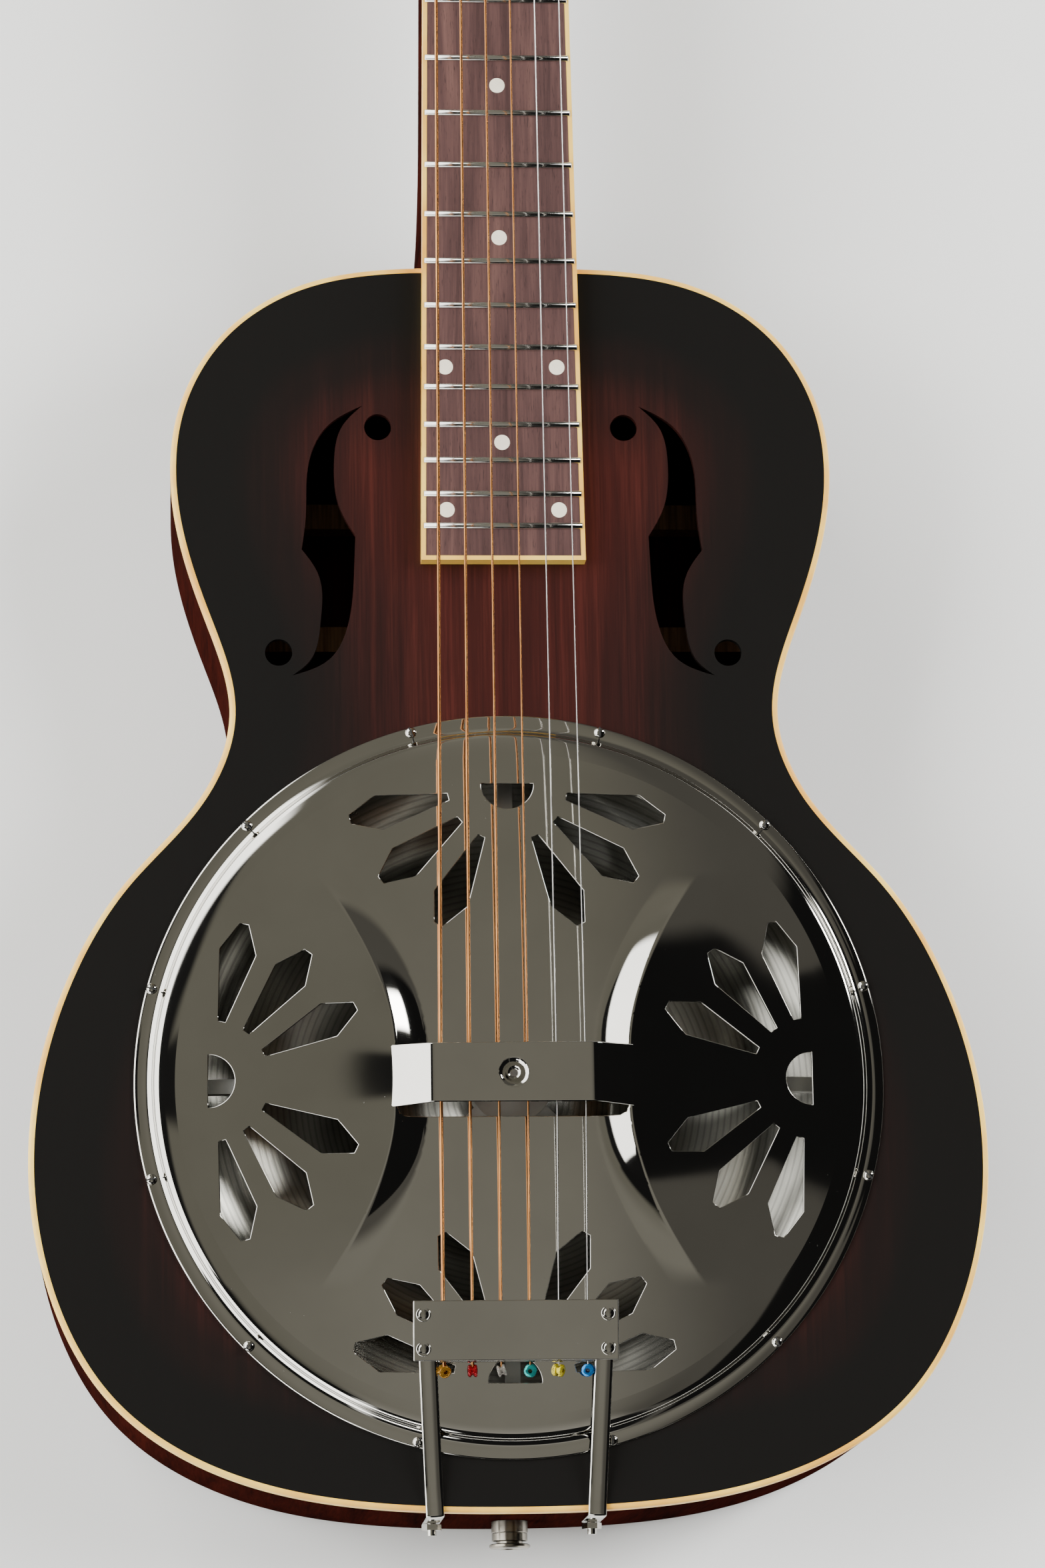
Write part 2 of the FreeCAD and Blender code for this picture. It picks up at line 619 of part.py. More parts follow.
def post_gear(u, v):
    shaft = cyl(POST_R, u, v, AXIS_W - 3.5, 19.0)
    waist = ring(2.75, POST_R + 1, 5.0, 14.0)
    waist.translate(Vector(u, v, 0))
    shaft = shaft.cut(waist)
    shaft = shaft.cut(rod(1.0, Vector(u - 5, v, 15.5), Vector(u + 5, v, 15.5)))
    tip = WORM_GAP - 2.8 - 0.3
    points = []
    for k in range(GEAR_TEETH):
        for da, r in ((-0.30, tip - 1.1), (-0.12, tip), (0.12, tip), (0.30, tip - 1.1)):
            a = 2 * math.pi * (k + da) / GEAR_TEETH
            points.append((u + r * math.cos(a), v + r * math.sin(a)))
    gear = prism(points, AXIS_W - 2.2, AXIS_W + 2.2)
    cap = cyl(2.6, u, v, AXIS_W - 4.6, AXIS_W - 2.2)
    cap = cap.cut(box(u - 4, u + 4, v - 0.4, v + 0.4, AXIS_W - 6, AXIS_W - 3.8))
    return joined([shaft, gear, cap])


def bushing(u, v):
    body = cyl(5.0, u, v, LOW, 0).fuse(cyl(7.0, u, v, 0, 1.4)).fuse(Part.makeCone(5.2, 4.2, 1.2, Vector(u, v, 1.4)))
    return body.cut(cyl(POST_R + RUN, u, v, -40, 20))


def build_tuners():
    spots = list(tuner_spots())
    save("tuner_plates", Part.makeCompound([on_head(tuner_plate(u, v)) for u, v in spots]))
    screws = []
    for u, v in spots:
        screws += [on_head(s) for s in tuner_screws(u, v)]
    save("tuner_screws", Part.makeCompound(screws))
    save("tuner_bushings", Part.makeCompound([on_head(bushing(u, v)) for u, v in spots]))
    for u, v in spots:
        n = string_of(u, v)
        save("tuner_button_%d" % n, on_head(worm_button(u, v)))
        save("tuner_post_%d" % n, on_head(post_gear(u, v)))


def string_of(u, v):
    """String number wound on the post at (u, v); 6 is the thickest."""
    place = POST_V.index(v)
    return 6 - place if u < 0 else 1 + place


# ---- strings ----
def build_strings():
    balls = []
    for k in range(6):
        n = 6 - k
        r = STRING_R[k]
        share = (k - 2.5) / 2.5
        ball = Vector(share * SADDLE_SPREAD * 0.985, BALL_Y, BALL_Z)
        saddle = Vector(share * SADDLE_SPREAD, 0, SADDLE_Z + r)
        nut = Vector(share * NUT_SPREAD, NUT_Y + 1.7, NUT_Z + r)
        u, v = [p for p in tuner_spots() if string_of(*p) == n][0]
        wrap = 1.12 * r
        turn_r = 2.75 + 0.3 + wrap
        coils = []
        for j in range(3):
            coil = Part.makeTorus(turn_r, wrap, Vector(u, v, 12.6 - 1.8 * wrap * j))
            coils.append(on_head(coil))
        end = head_point(u, v - turn_r, 12.6)
        path = Part.makePolygon([ball, saddle, nut, end])
        section = Part.Wire([Part.Circle(ball, saddle - ball, r).toShape()])
        string = path.makePipeShell([section], True, False, 1)
        save("string_%d" % n, string.fuse(joined(coils)))
        bead = Part.makeSphere(BALL_R, ball + Vector(0, -1.0, 0)).cut(rod(r, ball, saddle))
        balls.append(bead)
    save("string_balls", Part.makeCompound(balls))


# ---- tailpiece and output jack ----
def build_tail():
    z0 = DEPTH + 17.0
    z1 = DEPTH + 14.2
    plate = profile_x([(TAIL_Y0, z0), (TAIL_Y0, z0 - 1.3), (TAIL_Y1, z1 - 1.3), (TAIL_Y1, z1)], TAIL_HALF)
    lip = box(-28.8, 28.8, TAIL_Y1, TAIL_Y1 + 1.3, BALL_Z - 1.8, z1 - 0.2)
    front = box(-TAIL_HALF, TAIL_HALF, TAIL_Y0 - 1.2, TAIL_Y0, z0 - 2.6, z0 - 0.4)
    plate = joined([plate, lip, front])
    for k in range(6):
        x = (k - 2.5) / 2.5 * SADDLE_SPREAD * 0.985
        plate = plate.cut(box(x - 1.1, x + 1.1, TAIL_Y1 - 1, TAIL_Y1 + 3, BALL_Z - 6, BALL_Z + 2.2))
    save("tailpiece", plate)
    under = 1.5
    slope = (z0 - z1) / (TAIL_Y0 - TAIL_Y1)

    def plate_low(y):
        return z0 - under + slope * (y - TAIL_Y0)

    lay = DEPTH + 0.4
    wall = BODY_TAIL - 0.35
    path = [(-87, plate_low(-87)), (-107, plate_low(-107)), (-156, lay + LEG_T), (wall - LEG_T, lay + LEG_T),
            (wall - LEG_T, BOLT_Z - 5), (wall, BOLT_Z - 5), (wall, lay), (-156, lay),
            (-107.6, plate_low(-107) - LEG_T), (-87, plate_low(-87) - LEG_T)]
    leg = profile_x(path, LEG_W / 2)
    turn = math.degrees(math.atan2(LEG_TOP_X - LEG_END_X, -87 - wall))
    legs = []
    bolts = []
    for s in (-1, 1):
        one = leg.copy()
        one.translate(Vector(s * LEG_END_X, 0, 0))
        one.rotate(Vector(s * LEG_END_X, wall, 0), Vector(0, 0, 1), -s * turn)
        x = s * LEG_END_X
        legs.append(one.cut(rod(1.85, Vector(x, -175, BOLT_Z), Vector(x, -146, BOLT_Z))))
        outer = wall - LEG_T - 0.15
        nut = prism([(3.7 * math.cos(math.radians(60 * k)), 3.7 * math.sin(math.radians(60 * k)))
                     for k in range(6)], 0, 2.2)
        nut.rotate(Vector(0, 0, 0), Vector(1, 0, 0), 90)
        nut.translate(Vector(x, outer, BOLT_Z))
        bolt = rod(1.75, Vector(x, -148, BOLT_Z), Vector(x, outer - 4.2, BOLT_Z))
        bolts.append(bolt.fuse(nut))
    save("tailpiece_legs", Part.makeCompound(legs))
    save("tailpiece_bolts", Part.makeCompound(bolts))
    rivets = []
    for y in (-88.6, -101.2):
        for s in (-1, 1):
            z = plate_low(y) + under
            cap = Part.makeSphere(4.2, Vector(s * 34.2, y, z - 3.2)).common(cyl(2.7, s * 34.2, y, z - 0.4, z + 5))
            rivets.append(cap.cut(plate))
    save("tailpiece_rivets", Part.makeCompound(rivets))

    y = BODY_TAIL
    axis = Vector(0, -1, 0)
    start = Vector(0, y - 0.3, JACK_Z)
    washer = Part.makeCylinder(8.2, 0.8, start, axis)
    nut = prism([(8.0 * math.cos(math.radians(60 * k)), 8.0 * math.sin(math.radians(60 * k)))
                 for k in range(6)], 0, 3.4)
    nut.rotate(Vector(0, 0, 0), Vector(1, 0, 0), 90)
    nut.translate(start + axis * 0.8)
    barrel = Part.makeCylinder(6.0, 36.0, Vector(0, y - 4.5, JACK_Z), Vector(0, 1, 0))
    save("jack_nut", washer.fuse(nut).cut(barrel))
    neck = Part.makeCylinder(4.7, 4.5, Vector(0, y - 4.5, JACK_Z), axis)
    flange = Part.makeCylinder(7.75, 1.7, Vector(0, y - 8.8, JACK_Z), axis)
    jack = joined([barrel, neck, flange])
    bore = Part.makeCylinder(3.25, 30.0, Vector(0, y - 10.5, JACK_Z), Vector(0, 1, 0))
    save("output_jack", jack.cut(bore))

    seat = TROUGH_Z - 3.0
    save("pickup", cyl(5.8, 0, -TROUGH_R, seat, TROUGH_Z))
    run = [Vector(0, -TROUGH_R, seat + 1.2), Vector(0, -62, 24), Vector(0, -100, 24), Vector(0, -118, JACK_Z),
           Vector(0, y + 31.5, JACK_Z)]
    lead = [rod(1.0, a, b) for a, b in zip(run, run[1:])]
    lead += [Part.makeSphere(1.0, p) for p in run[1:-1]]
    lead = joined(lead).cut(cyl(5.8, 0, -TROUGH_R, seat, TROUGH_Z))
    save("pickup_lead", lead)


os.makedirs("parts", exist_ok=True)
build_body()
build_cone()
build_cover()
build_neck()
build_board()
build_tuners()
build_strings()
build_tail()
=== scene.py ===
import json
import math

import bpy
import numpy as np
from mathutils import Matrix, Vector
from mathutils.geometry import delaunay_2d_cdt


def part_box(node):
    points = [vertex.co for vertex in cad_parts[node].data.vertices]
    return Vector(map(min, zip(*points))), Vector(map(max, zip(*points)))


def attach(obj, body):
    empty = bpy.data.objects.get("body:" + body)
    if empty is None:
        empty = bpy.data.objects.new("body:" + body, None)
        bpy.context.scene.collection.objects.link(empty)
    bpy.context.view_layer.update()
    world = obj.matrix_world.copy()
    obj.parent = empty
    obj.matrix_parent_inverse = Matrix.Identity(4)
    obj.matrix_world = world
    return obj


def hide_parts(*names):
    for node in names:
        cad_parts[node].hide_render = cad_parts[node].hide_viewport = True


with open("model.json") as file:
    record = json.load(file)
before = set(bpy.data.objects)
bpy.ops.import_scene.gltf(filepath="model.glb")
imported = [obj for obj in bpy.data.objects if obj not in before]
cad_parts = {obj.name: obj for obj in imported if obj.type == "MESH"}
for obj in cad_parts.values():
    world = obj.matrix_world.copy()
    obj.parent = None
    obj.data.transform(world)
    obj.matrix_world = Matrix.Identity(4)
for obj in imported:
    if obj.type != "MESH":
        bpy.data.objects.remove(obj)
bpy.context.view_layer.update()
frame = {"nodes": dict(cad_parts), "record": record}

# Looks of the resonator guitar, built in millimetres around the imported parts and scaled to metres.
MM = 0.001
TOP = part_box("soundboard")[1].z / MM
BODY = "guitar"

# ------------------------------------------------------------------ shape tools


def unit(v):
    v = np.asarray(v, float)
    return v / np.maximum(np.linalg.norm(v, axis=-1, keepdims=True), 1e-12)


def add_piece(name, verts, faces, material, slot, body=BODY, replaces=(), sharp=35, normals=None):
    """A mesh piece from millimetre vertices; normals, when given, hold one normal per vertex."""
    mesh = bpy.data.meshes.new(name)
    mesh.from_pydata((np.asarray(verts, float) * MM).tolist(), [], [list(map(int, f)) for f in faces])
    mesh.shade_smooth()
    if normals is None:
        mesh.set_sharp_from_angle(angle=math.radians(sharp))
    else:
        table = np.asarray(normals, float)
        loops = np.zeros(len(mesh.loops), np.int32)
        mesh.loops.foreach_get("vertex_index", loops)
        custom = table[loops]
        for poly in mesh.polygons:
            flat = np.array(poly.normal)
            for i in poly.loop_indices:
                if np.dot(custom[i], flat) < 0.75:
                    custom[i] = flat
        mesh.normals_split_custom_set(custom.tolist())
    piece = bpy.data.objects.new(name, mesh)
    bpy.context.scene.collection.objects.link(piece)
    mesh.materials.append(material)
    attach(piece, body)
    if replaces:
        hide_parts(*replaces)
    return piece


def merged(parts):
    verts, faces, start = [], [], 0
    for v, f in parts:
        verts.append(np.asarray(v, float))
        faces += [[i + start for i in face] for face in f]
        start += len(v)
    return np.vstack(verts), faces


def lathe(profile, count=96, closed=False, centre=(0, 0, 0)):
    """Revolves (r, z) points round Z."""
    a = np.linspace(0, 2 * math.pi, count, endpoint=False)
    rings = [np.stack([r * np.cos(a), r * np.sin(a), np.full(count, z)], 1) for r, z in profile]
    verts = np.vstack(rings) + np.asarray(centre, float)
    faces = []
    n = len(profile)
    for j in range(n if closed else n - 1):
        k = (j + 1) % n
        for i in range(count):
            m = (i + 1) % count
            faces.append([j * count + i, j * count + m, k * count + m, k * count + i])
    if not closed:
        faces.append(list(range(count))[::-1])
        faces.append(list(range((n - 1) * count, n * count)))
    return verts, faces


def tube(path, radius, sides=16, caps=True):
    """A round tube along a list of points."""
    path = np.asarray(path, float)
    ahead = unit(np.gradient(path, axis=0))
    side = unit(np.cross(ahead, [0.123, 0.31, 0.94]))
    up = np.cross(side, ahead)
    a = np.linspace(0, 2 * math.pi, sides, endpoint=False)
    radius = np.broadcast_to(radius, (len(path),))
    ring = np.cos(a)[None, :, None] * side[:, None] + np.sin(a)[None, :, None] * up[:, None]
    verts = (path[:, None] + radius[:, None, None] * ring).reshape(-1, 3)
    faces = []
    for j in range(len(path) - 1):
        for i in range(sides):
            m = (i + 1) % sides
            faces.append([j * sides + i, j * sides + m, (j + 1) * sides + m, (j + 1) * sides + i])
    if caps:
        faces.append(list(range(sides))[::-1])
        faces.append(list(range((len(path) - 1) * sides, len(path) * sides)))
    return verts, faces


def closed_spline(points, count):
    """Periodic cubic through the points by chord length: positions and inward normals at count places."""
    p = np.asarray(points, float)
    n = len(p)
    h = np.linalg.norm(np.roll(p, -1, 0) - p, axis=1)
    rate = (np.roll(p, -1, 0) - p) / h[:, None]
    m = np.zeros((n, n))
    for i in range(n):
        m[i, i - 1] = h[i - 1]
        m[i, i] = 2 * (h[i - 1] + h[i])
        m[i, (i + 1) % n] = h[i]
    bend = np.linalg.solve(m, 6 * (rate - np.roll(rate, 1, 0)))
    start = np.concatenate([[0], np.cumsum(h)])
    s = np.linspace(0, start[-1], count, endpoint=False)
    i = np.clip(np.searchsorted(start, s, "right") - 1, 0, n - 1)
    j = (i + 1) % n
    a = ((start[i + 1] - s) / h[i])[:, None]
    b = 1 - a
    k = (h[i] ** 2 / 6)[:, None]
    pos = a * p[i] + b * p[j] + k * ((a ** 3 - a) * bend[i] + (b ** 3 - b) * bend[j])
    along = rate[i] + (h[i] / 6)[:, None] * ((1 - 3 * a ** 2) * bend[i] + (3 * b ** 2 - 1) * bend[j])
    along = unit(along)
    return pos, np.stack([along[:, 1], -along[:, 0]], 1)


def inside(points, loop):
    """Even-odd test of points against one closed loop."""
    x, y = points[:, 0], points[:, 1]
    hit = np.zeros(len(points), bool)
    x1, y1 = loop[-1]
    for x2, y2 in loop:
        crosses = (y1 > y) != (y2 > y)
        if crosses.any():
            at = x1 + (y[crosses] - y1) * (x2 - x1) / (y2 - y1)
            hit[crosses] ^= x[crosses] < at
        x1, y1 = x2, y2
    return hit


def densify(loop, step):
    out = []
    for a, b in zip(loop, np.roll(loop, -1, 0)):
        n = max(1, int(round(np.linalg.norm(b - a) / step)))
        out += [a + (b - a) * i / n for i in range(n)]
    return np.array(out)


def loop_distance(points, loop):
    best = np.full(len(points), 1e9)
    for a, b in zip(loop, np.roll(loop, -1, 0)):
        d = b - a
        t = np.clip(((points - a) @ d) / max(d @ d, 1e-9), 0, 1)
        best = np.minimum(best, np.linalg.norm(points - a - t[:, None] * d, axis=1))
    return best


def flat_region(outer, holes, spacing, lines=()):
    """Triangles filling the outer loop less the holes, with a grid of inner points and set lines."""
    loops = [np.asarray(outer, float)] + [np.asarray(h, float) for h in holes]
    lo, hi = loops[0].min(0), loops[0].max(0)
    gx, gy = np.meshgrid(np.arange(lo[0], hi[0], spacing), np.arange(lo[1], hi[1], spacing * 0.866))
    gx[1::2] += spacing / 2
    grid = np.stack([gx.ravel(), gy.ravel()], 1)
    keep = inside(grid, loops[0])
    for loop in loops[1:]:
        keep &= ~inside(grid, loop)
    grid = grid[keep]
    for loop in loops:
        close = np.ones(len(grid), bool)
        box_lo, box_hi = loop.min(0) - spacing, loop.max(0) + spacing
        near = ((grid > box_lo) & (grid < box_hi)).all(1)
        close[near] = loop_distance(grid[near], loop) > spacing * 0.45
        grid = grid[close]
    for line in lines:
        gap = np.linalg.norm(grid[:, None] - line[None], axis=2).min(1)
        grid = grid[gap > spacing * 0.35]
    points, edges = [], []
    for loop in loops:
        s = len(points)
        points += [Vector(p) for p in loop]
        edges += [(s + i, s + (i + 1) % len(loop)) for i in range(len(loop))]
    for line in lines:
        s = len(points)
        points += [Vector(p) for p in line]
        edges += [(s + i, s + i + 1) for i in range(len(line) - 1)]
    points += [Vector(p) for p in grid]
    verts, _, tris, _, _, _ = delaunay_2d_cdt(points, edges, [], 0, 1e-7)
    verts = np.array([tuple(v) for v in verts])
    tris = np.array(tris)
    mid = verts[tris].mean(1)
    keep = inside(mid, loops[0])
    for loop in loops[1:]:
        keep &= ~inside(mid, loop)
    tris = tris[keep]
    a, b, c = verts[tris[:, 0]], verts[tris[:, 1]], verts[tris[:, 2]]
    turn = (b[:, 0] - a[:, 0]) * (c[:, 1] - a[:, 1]) - (b[:, 1] - a[:, 1]) * (c[:, 0] - a[:, 0])
    tris[turn < 0] = tris[turn < 0][:, ::-1]
    return verts, tris


def rim_edges(tris):
    seen = {}
    for t in tris:
        for a, b in ((t[0], t[1]), (t[1], t[2]), (t[2], t[0])):
            seen[(int(a), int(b))] = True
    return [(a, b) for a, b in seen if (b, a) not in seen]


def outward(loop, away):
    """Unit normals in the plane at each place on a loop, away from its inside or towards it."""
    along = np.roll(loop, -1, 0) - np.roll(loop, 1, 0)
    side = unit(np.stack([along[:, 1], -along[:, 0]], 1))
    area = np.sum(loop[:, 0] * np.roll(loop[:, 1], -1) - np.roll(loop[:, 0], -1) * loop[:, 1])
    return side * (1 if (area > 0) == away else -1)


def sheet(outer, holes, spacing, height, thickness, lines=(), soft=0.0, soft_rim=True):
    """A thin pressed sheet over a flat region: height(x, y) is its top, thickness is along its normal.

    soft is the radius of the rounding along every cut edge, with or without the outer rim."""
    loops = [np.asarray(outer, float)] + [np.asarray(h, float) for h in holes]
    sides = [outward(loop, i == 0) for i, loop in enumerate(loops)]
    lines = list(lines)
    if soft:
        keep = slice(0 if soft_rim else 1, None)
        loops, sides = loops[keep], sides[keep]
        for loop, side in zip(loops, sides):
            ring = loop - side * soft
            lines.append(np.vstack([ring, ring[:1]]))
    flat, tris = flat_region(outer, holes, spacing, lines)
    x, y = flat[:, 0], flat[:, 1]
    z = height(x, y)
    e = 0.05
    slope_x = (height(x + e, y) - height(x - e, y)) / (2 * e)
    slope_y = (height(x, y + e) - height(x, y - e)) / (2 * e)
    normal = unit(np.stack([-slope_x, -slope_y, np.ones_like(z)], 1))
    top = np.stack([x, y, z], 1)
    low = top - normal * thickness
    above = normal.copy()
    if soft:
        edge, way = np.vstack(loops), np.vstack(sides)
        for i in sorted({a for pair in rim_edges(tris) for a in pair}):
            gap = np.sum((edge - flat[i]) ** 2, 1)
            near = way[np.argmin(gap)]
            if gap.min() > 0.01:
                continue
            top[i] -= normal[i] * soft * 0.4
            above[i] = unit(normal[i] + np.array([near[0], near[1], 0.0]) * 1.1)
    n = len(top)
    faces = tris.tolist() + (tris[:, ::-1] + n).tolist()
    faces += [[b, a, a + n, b + n] for a, b in rim_edges(tris)]
    return np.vstack([top, low]), faces, np.vstack([above, -normal])


def outline_ring(profile, count=560, closed=True, caps=False):
    """Sweeps (inset, z) points round the body outline."""
    pos, inward = closed_spline(OUTLINE, count)
    rings = [np.column_stack([pos + inward * d, np.full(count, z)]) for d, z in profile]
    verts = np.vstack(rings)
    faces = []
    n = len(profile)
    for j in range(n if closed else n - 1):
        k = (j + 1) % n
        for i in range(count):
            m = (i + 1) % count
            faces.append([j * count + i, k * count + i, k * count + m, j * count + m])
    if caps:
        faces.append(list(range(count)))
        faces.append(list(range((n - 1) * count, n * count))[::-1])
    return verts, faces


def block(x0, x1, y0, y1, z0, z1):
    verts = [(x, y, z) for z in (z0, z1) for y in (y0, y1) for x in (x0, x1)]
    faces = [(0, 2, 3, 1), (4, 5, 7, 6), (0, 1, 5, 4), (2, 6, 7, 3), (0, 4, 6, 2), (1, 3, 7, 5)]
    return np.array(verts, float), [list(f) for f in faces]


def rounded(piece, width, segments=3, angle=40):
    mod = piece.modifiers.new("round", "BEVEL")
    mod.width = width * MM
    mod.segments = segments
    mod.limit_method = "ANGLE"
    mod.angle_limit = math.radians(angle)
    mod.harden_normals = True
    return piece


def smooth(t):
    t = np.clip(t, 0, 1)
    return t * t * (3 - 2 * t)


# ------------------------------------------------------------------ materials


class Shade:
    """A node material with short helpers."""

    def __init__(self, name):
        self.material = bpy.data.materials.new(name)
        self.material.use_nodes = True
        self.tree = self.material.node_tree
        self.out = self.tree.nodes["Principled BSDF"]
        self.coords = self.tree.nodes.new("ShaderNodeTexCoord")

    def put(self, node, socket, value):
        target = node.inputs[socket]
        if isinstance(value, bpy.types.NodeSocket):
            self.tree.links.new(value, target)
        elif isinstance(value, (tuple, list)) and len(value) == 3 and target.type == "RGBA":
            target.default_value = (*value, 1)
        else:
            target.default_value = value

    def node(self, kind, inputs=None, **props):
        made = self.tree.nodes.new("ShaderNode" + kind)
        for key, value in props.items():
            setattr(made, key, value)
        for key, value in (inputs or {}).items():
            self.put(made, key, value)
        return made

    def set(self, **values):
        for key, value in values.items():
            self.put(self.out, key.replace("_", " "), value)

    def place(self, scale=(1, 1, 1), turn=(0, 0, 0), shift=(0, 0, 0)):
        """Object coordinates in metres, stretched."""
        return self.node("Mapping", {"Vector": self.coords.outputs["Object"], "Scale": scale,
                                     "Rotation": turn, "Location": shift}).outputs[0]

    def noise(self, where, scale, detail=4, rough=0.55, distortion=0.0):
        return self.node("TexNoise", {"Vector": where, "Scale": scale, "Detail": detail, "Roughness": rough,
                                      "Distortion": distortion}).outputs["Fac"]

    def ramp(self, fac, *stops, ease="LINEAR"):
        made = self.node("ValToRGB", {"Fac": fac})
        made.color_ramp.interpolation = ease
        points = made.color_ramp.elements
        while len(points) < len(stops):
            points.new(0.5)
        for point, (at, colour) in zip(points, stops):
            point.position = at
            point.color = (*colour, 1) if isinstance(colour, (tuple, list)) else (colour, colour, colour, 1)
        return made.outputs["Color"]

    def mix(self, fac, a, b, mode="MIX"):
        made = self.tree.nodes.new("ShaderNodeMix")
        made.data_type = "RGBA"
        made.blend_type = mode
        self.put(made, 0, fac)
        self.put(made, 6, a)
        self.put(made, 7, b)
        return made.outputs[2]

    def math(self, how, a, b=0.0, c=0.0):
        made = self.node("Math", operation=how)
        for i, value in enumerate((a, b, c)):
            self.put(made, i, value)
        return made.outputs[0]

    def split(self, where):
        made = self.node("SeparateXYZ", {"Vector": where})
        return made.outputs

    def attribute(self, name):
        return self.node("Attribute", attribute_name=name).outputs["Fac"]

    def bump(self, height, depth, strength=1.0, under=None):
        """depth is in metres."""
        inputs = {"Height": height, "Distance": depth, "Strength": strength}
        if under is not None:
            inputs["Normal"] = under
        made = self.node("Bump", inputs)
        self.put(self.out, "Normal", made.outputs[0])
        return made.outputs[0]


def srgb(r, g, b):
    """Linear colour from 0-255 screen values."""
    def one(v):
        v /= 255.0
        return v / 12.92 if v <= 0.04045 else ((v + 0.055) / 1.055) ** 2.4
    return one(r), one(g), one(b)


def polished_metal(name, colour, rough=0.045, wear=0.02):
    s = Shade(name)
    where = s.place()
    cloud = s.noise(where, 34, 3)
    tone = s.mix(s.ramp(cloud, (0.3, 0.0), (0.7, 1.0)), tuple(c * 0.95 for c in colour), colour)
    s.set(Base_Color=tone, Metallic=1.0,
          Roughness=s.math("MULTIPLY_ADD", cloud, wear, rough))
    s.bump(s.noise(where, 900, 2), 0.000004, 0.25)
    return s.material


def nickel():
    s = Shade("nickel")
    where = s.place()
    cloud = s.noise(where, 30, 3)
    dust = s.node("TexVoronoi", {"Vector": where, "Scale": 260.0}).outputs["Distance"]
    patch = s.ramp(s.noise(where, 16, 2), (0.50, 0.0), (0.62, 1.0))
    speck = s.math("MULTIPLY", s.math("LESS_THAN", dust, 0.055), patch)
    tone = s.mix(s.ramp(cloud, (0.3, 0.0), (0.7, 1.0)), (0.60, 0.585, 0.545), (0.65, 0.635, 0.59))
    s.set(Base_Color=tone, Metallic=1.0)
    gloss = s.math("MULTIPLY_ADD", cloud, 0.02, 0.035)
    s.set(Roughness=s.math("MULTIPLY_ADD", speck, 0.25, gloss))
    s.bump(s.noise(where, 60, 2), 0.00002, 0.12)
    return s.material


def spun_aluminium():
    s = Shade("spun_aluminium")
    where = s.place()
    x, y, _ = s.split(where)
    radius = s.math("SQRT", s.math("ADD", s.math("MULTIPLY", x, x), s.math("MULTIPLY", y, y)))
    groove = s.math("SINE", s.math("MULTIPLY", radius, 2 * math.pi / 0.0023))
    cloud = s.ramp(s.noise(where, 25, 3), (0.35, 0.0), (0.65, 1.0))
    # Base tones kept dark for aluminium: painted shade for the cone's place under the cover plate.
    tone = s.mix(cloud, (0.34, 0.335, 0.30), (0.46, 0.45, 0.405))
    # Darker rings along the spin grooves: painted shade in the grooves, which are also bumped below.
    dark = s.ramp(s.math("MULTIPLY_ADD", groove, 0.5, 0.5), (0.0, 0.72), (0.4, 1.0))
    s.set(Base_Color=s.mix(1.0, tone, dark, "MULTIPLY"), Metallic=1.0, Roughness=0.24, Anisotropic=0.85)
    round_z = s.node("Tangent", direction_type="RADIAL", axis="Z").outputs["Tangent"]
    s.put(s.out, "Tangent", round_z)
    s.bump(groove, 0.000008, 0.3)
    return s.material


def cast_aluminium():
    s = Shade("cast_aluminium")
    where = s.place()
    s.set(Base_Color=s.mix(s.noise(where, 120), (0.52, 0.52, 0.51), (0.72, 0.72, 0.70)), Metallic=1.0,
          Roughness=0.42)
    s.bump(s.noise(where, 1400, 3), 0.00006, 0.5)
    return s.material


def top_finish():
    """Sunburst: black at the edge, red-brown in the middle, fine straight grain."""
    s = Shade("top_sunburst")
    edge = s.attribute("edge_mm")
    drift = s.noise(s.place((1, 0.4, 1)), 14, 3)
    reach = s.math("MULTIPLY_ADD", s.math("SUBTRACT", drift, 0.5), 16.0, edge)
    burst = s.math("DIVIDE", reach, 90.0)
    grain_at = s.place((1, 0.018, 1))
    fine = s.noise(grain_at, 1500, 5, 0.62)
    broad = s.noise(s.place((1, 0.03, 1)), 190, 4, 0.6, 0.4)
    pores = s.noise(s.place((1, 0.05, 1)), 3200, 2, 0.7)
    wood = s.ramp(s.math("MULTIPLY_ADD", broad, 0.55, s.math("MULTIPLY", fine, 0.45)),
                  (0.30, srgb(34, 15, 13)), (0.50, srgb(50, 20, 17)), (0.72, srgb(74, 32, 26)))
    black = srgb(15, 14, 13)
    reveal = s.ramp(burst, (0.26, 0.0), (0.42, 0.10), (0.64, 0.50), (0.94, 1.0), ease="EASE")
    tone = s.mix(reveal, black, wood)
    tone = s.mix(s.ramp(pores, (0.62, 0.0), (0.74, 0.35)), tone, srgb(30, 12, 10))
    s.set(Base_Color=tone, Roughness=s.math("MULTIPLY_ADD", fine, 0.08, 0.34), Coat_Weight=0.12,
          Coat_Roughness=0.22)
    s.put(s.out, "Specular IOR Level", 0.22)
    s.bump(fine, 0.00006, 0.35)
    return s.material


def body_wood(name="body_mahogany", dark=srgb(24, 14, 12), light=srgb(74, 28, 20), along=(1, 1, 0.05),
              gloss=0.4):
    s = Shade(name)
    where = s.place(along)
    fine = s.noise(where, 900, 5, 0.6)
    broad = s.noise(s.place(tuple(a ** 0.8 for a in along)), 60, 4, 0.6, 0.5)
    tone = s.ramp(s.math("MULTIPLY_ADD", broad, 0.6, s.math("MULTIPLY", fine, 0.4)),
                  (0.32, dark), (0.68, light))
    s.set(Base_Color=tone, Roughness=s.math("MULTIPLY_ADD", fine, 0.06, gloss), Coat_Weight=0.0)
    s.put(s.out, "Specular IOR Level", 0.0)
    s.bump(fine, 0.00004, 0.25)
    return s.material


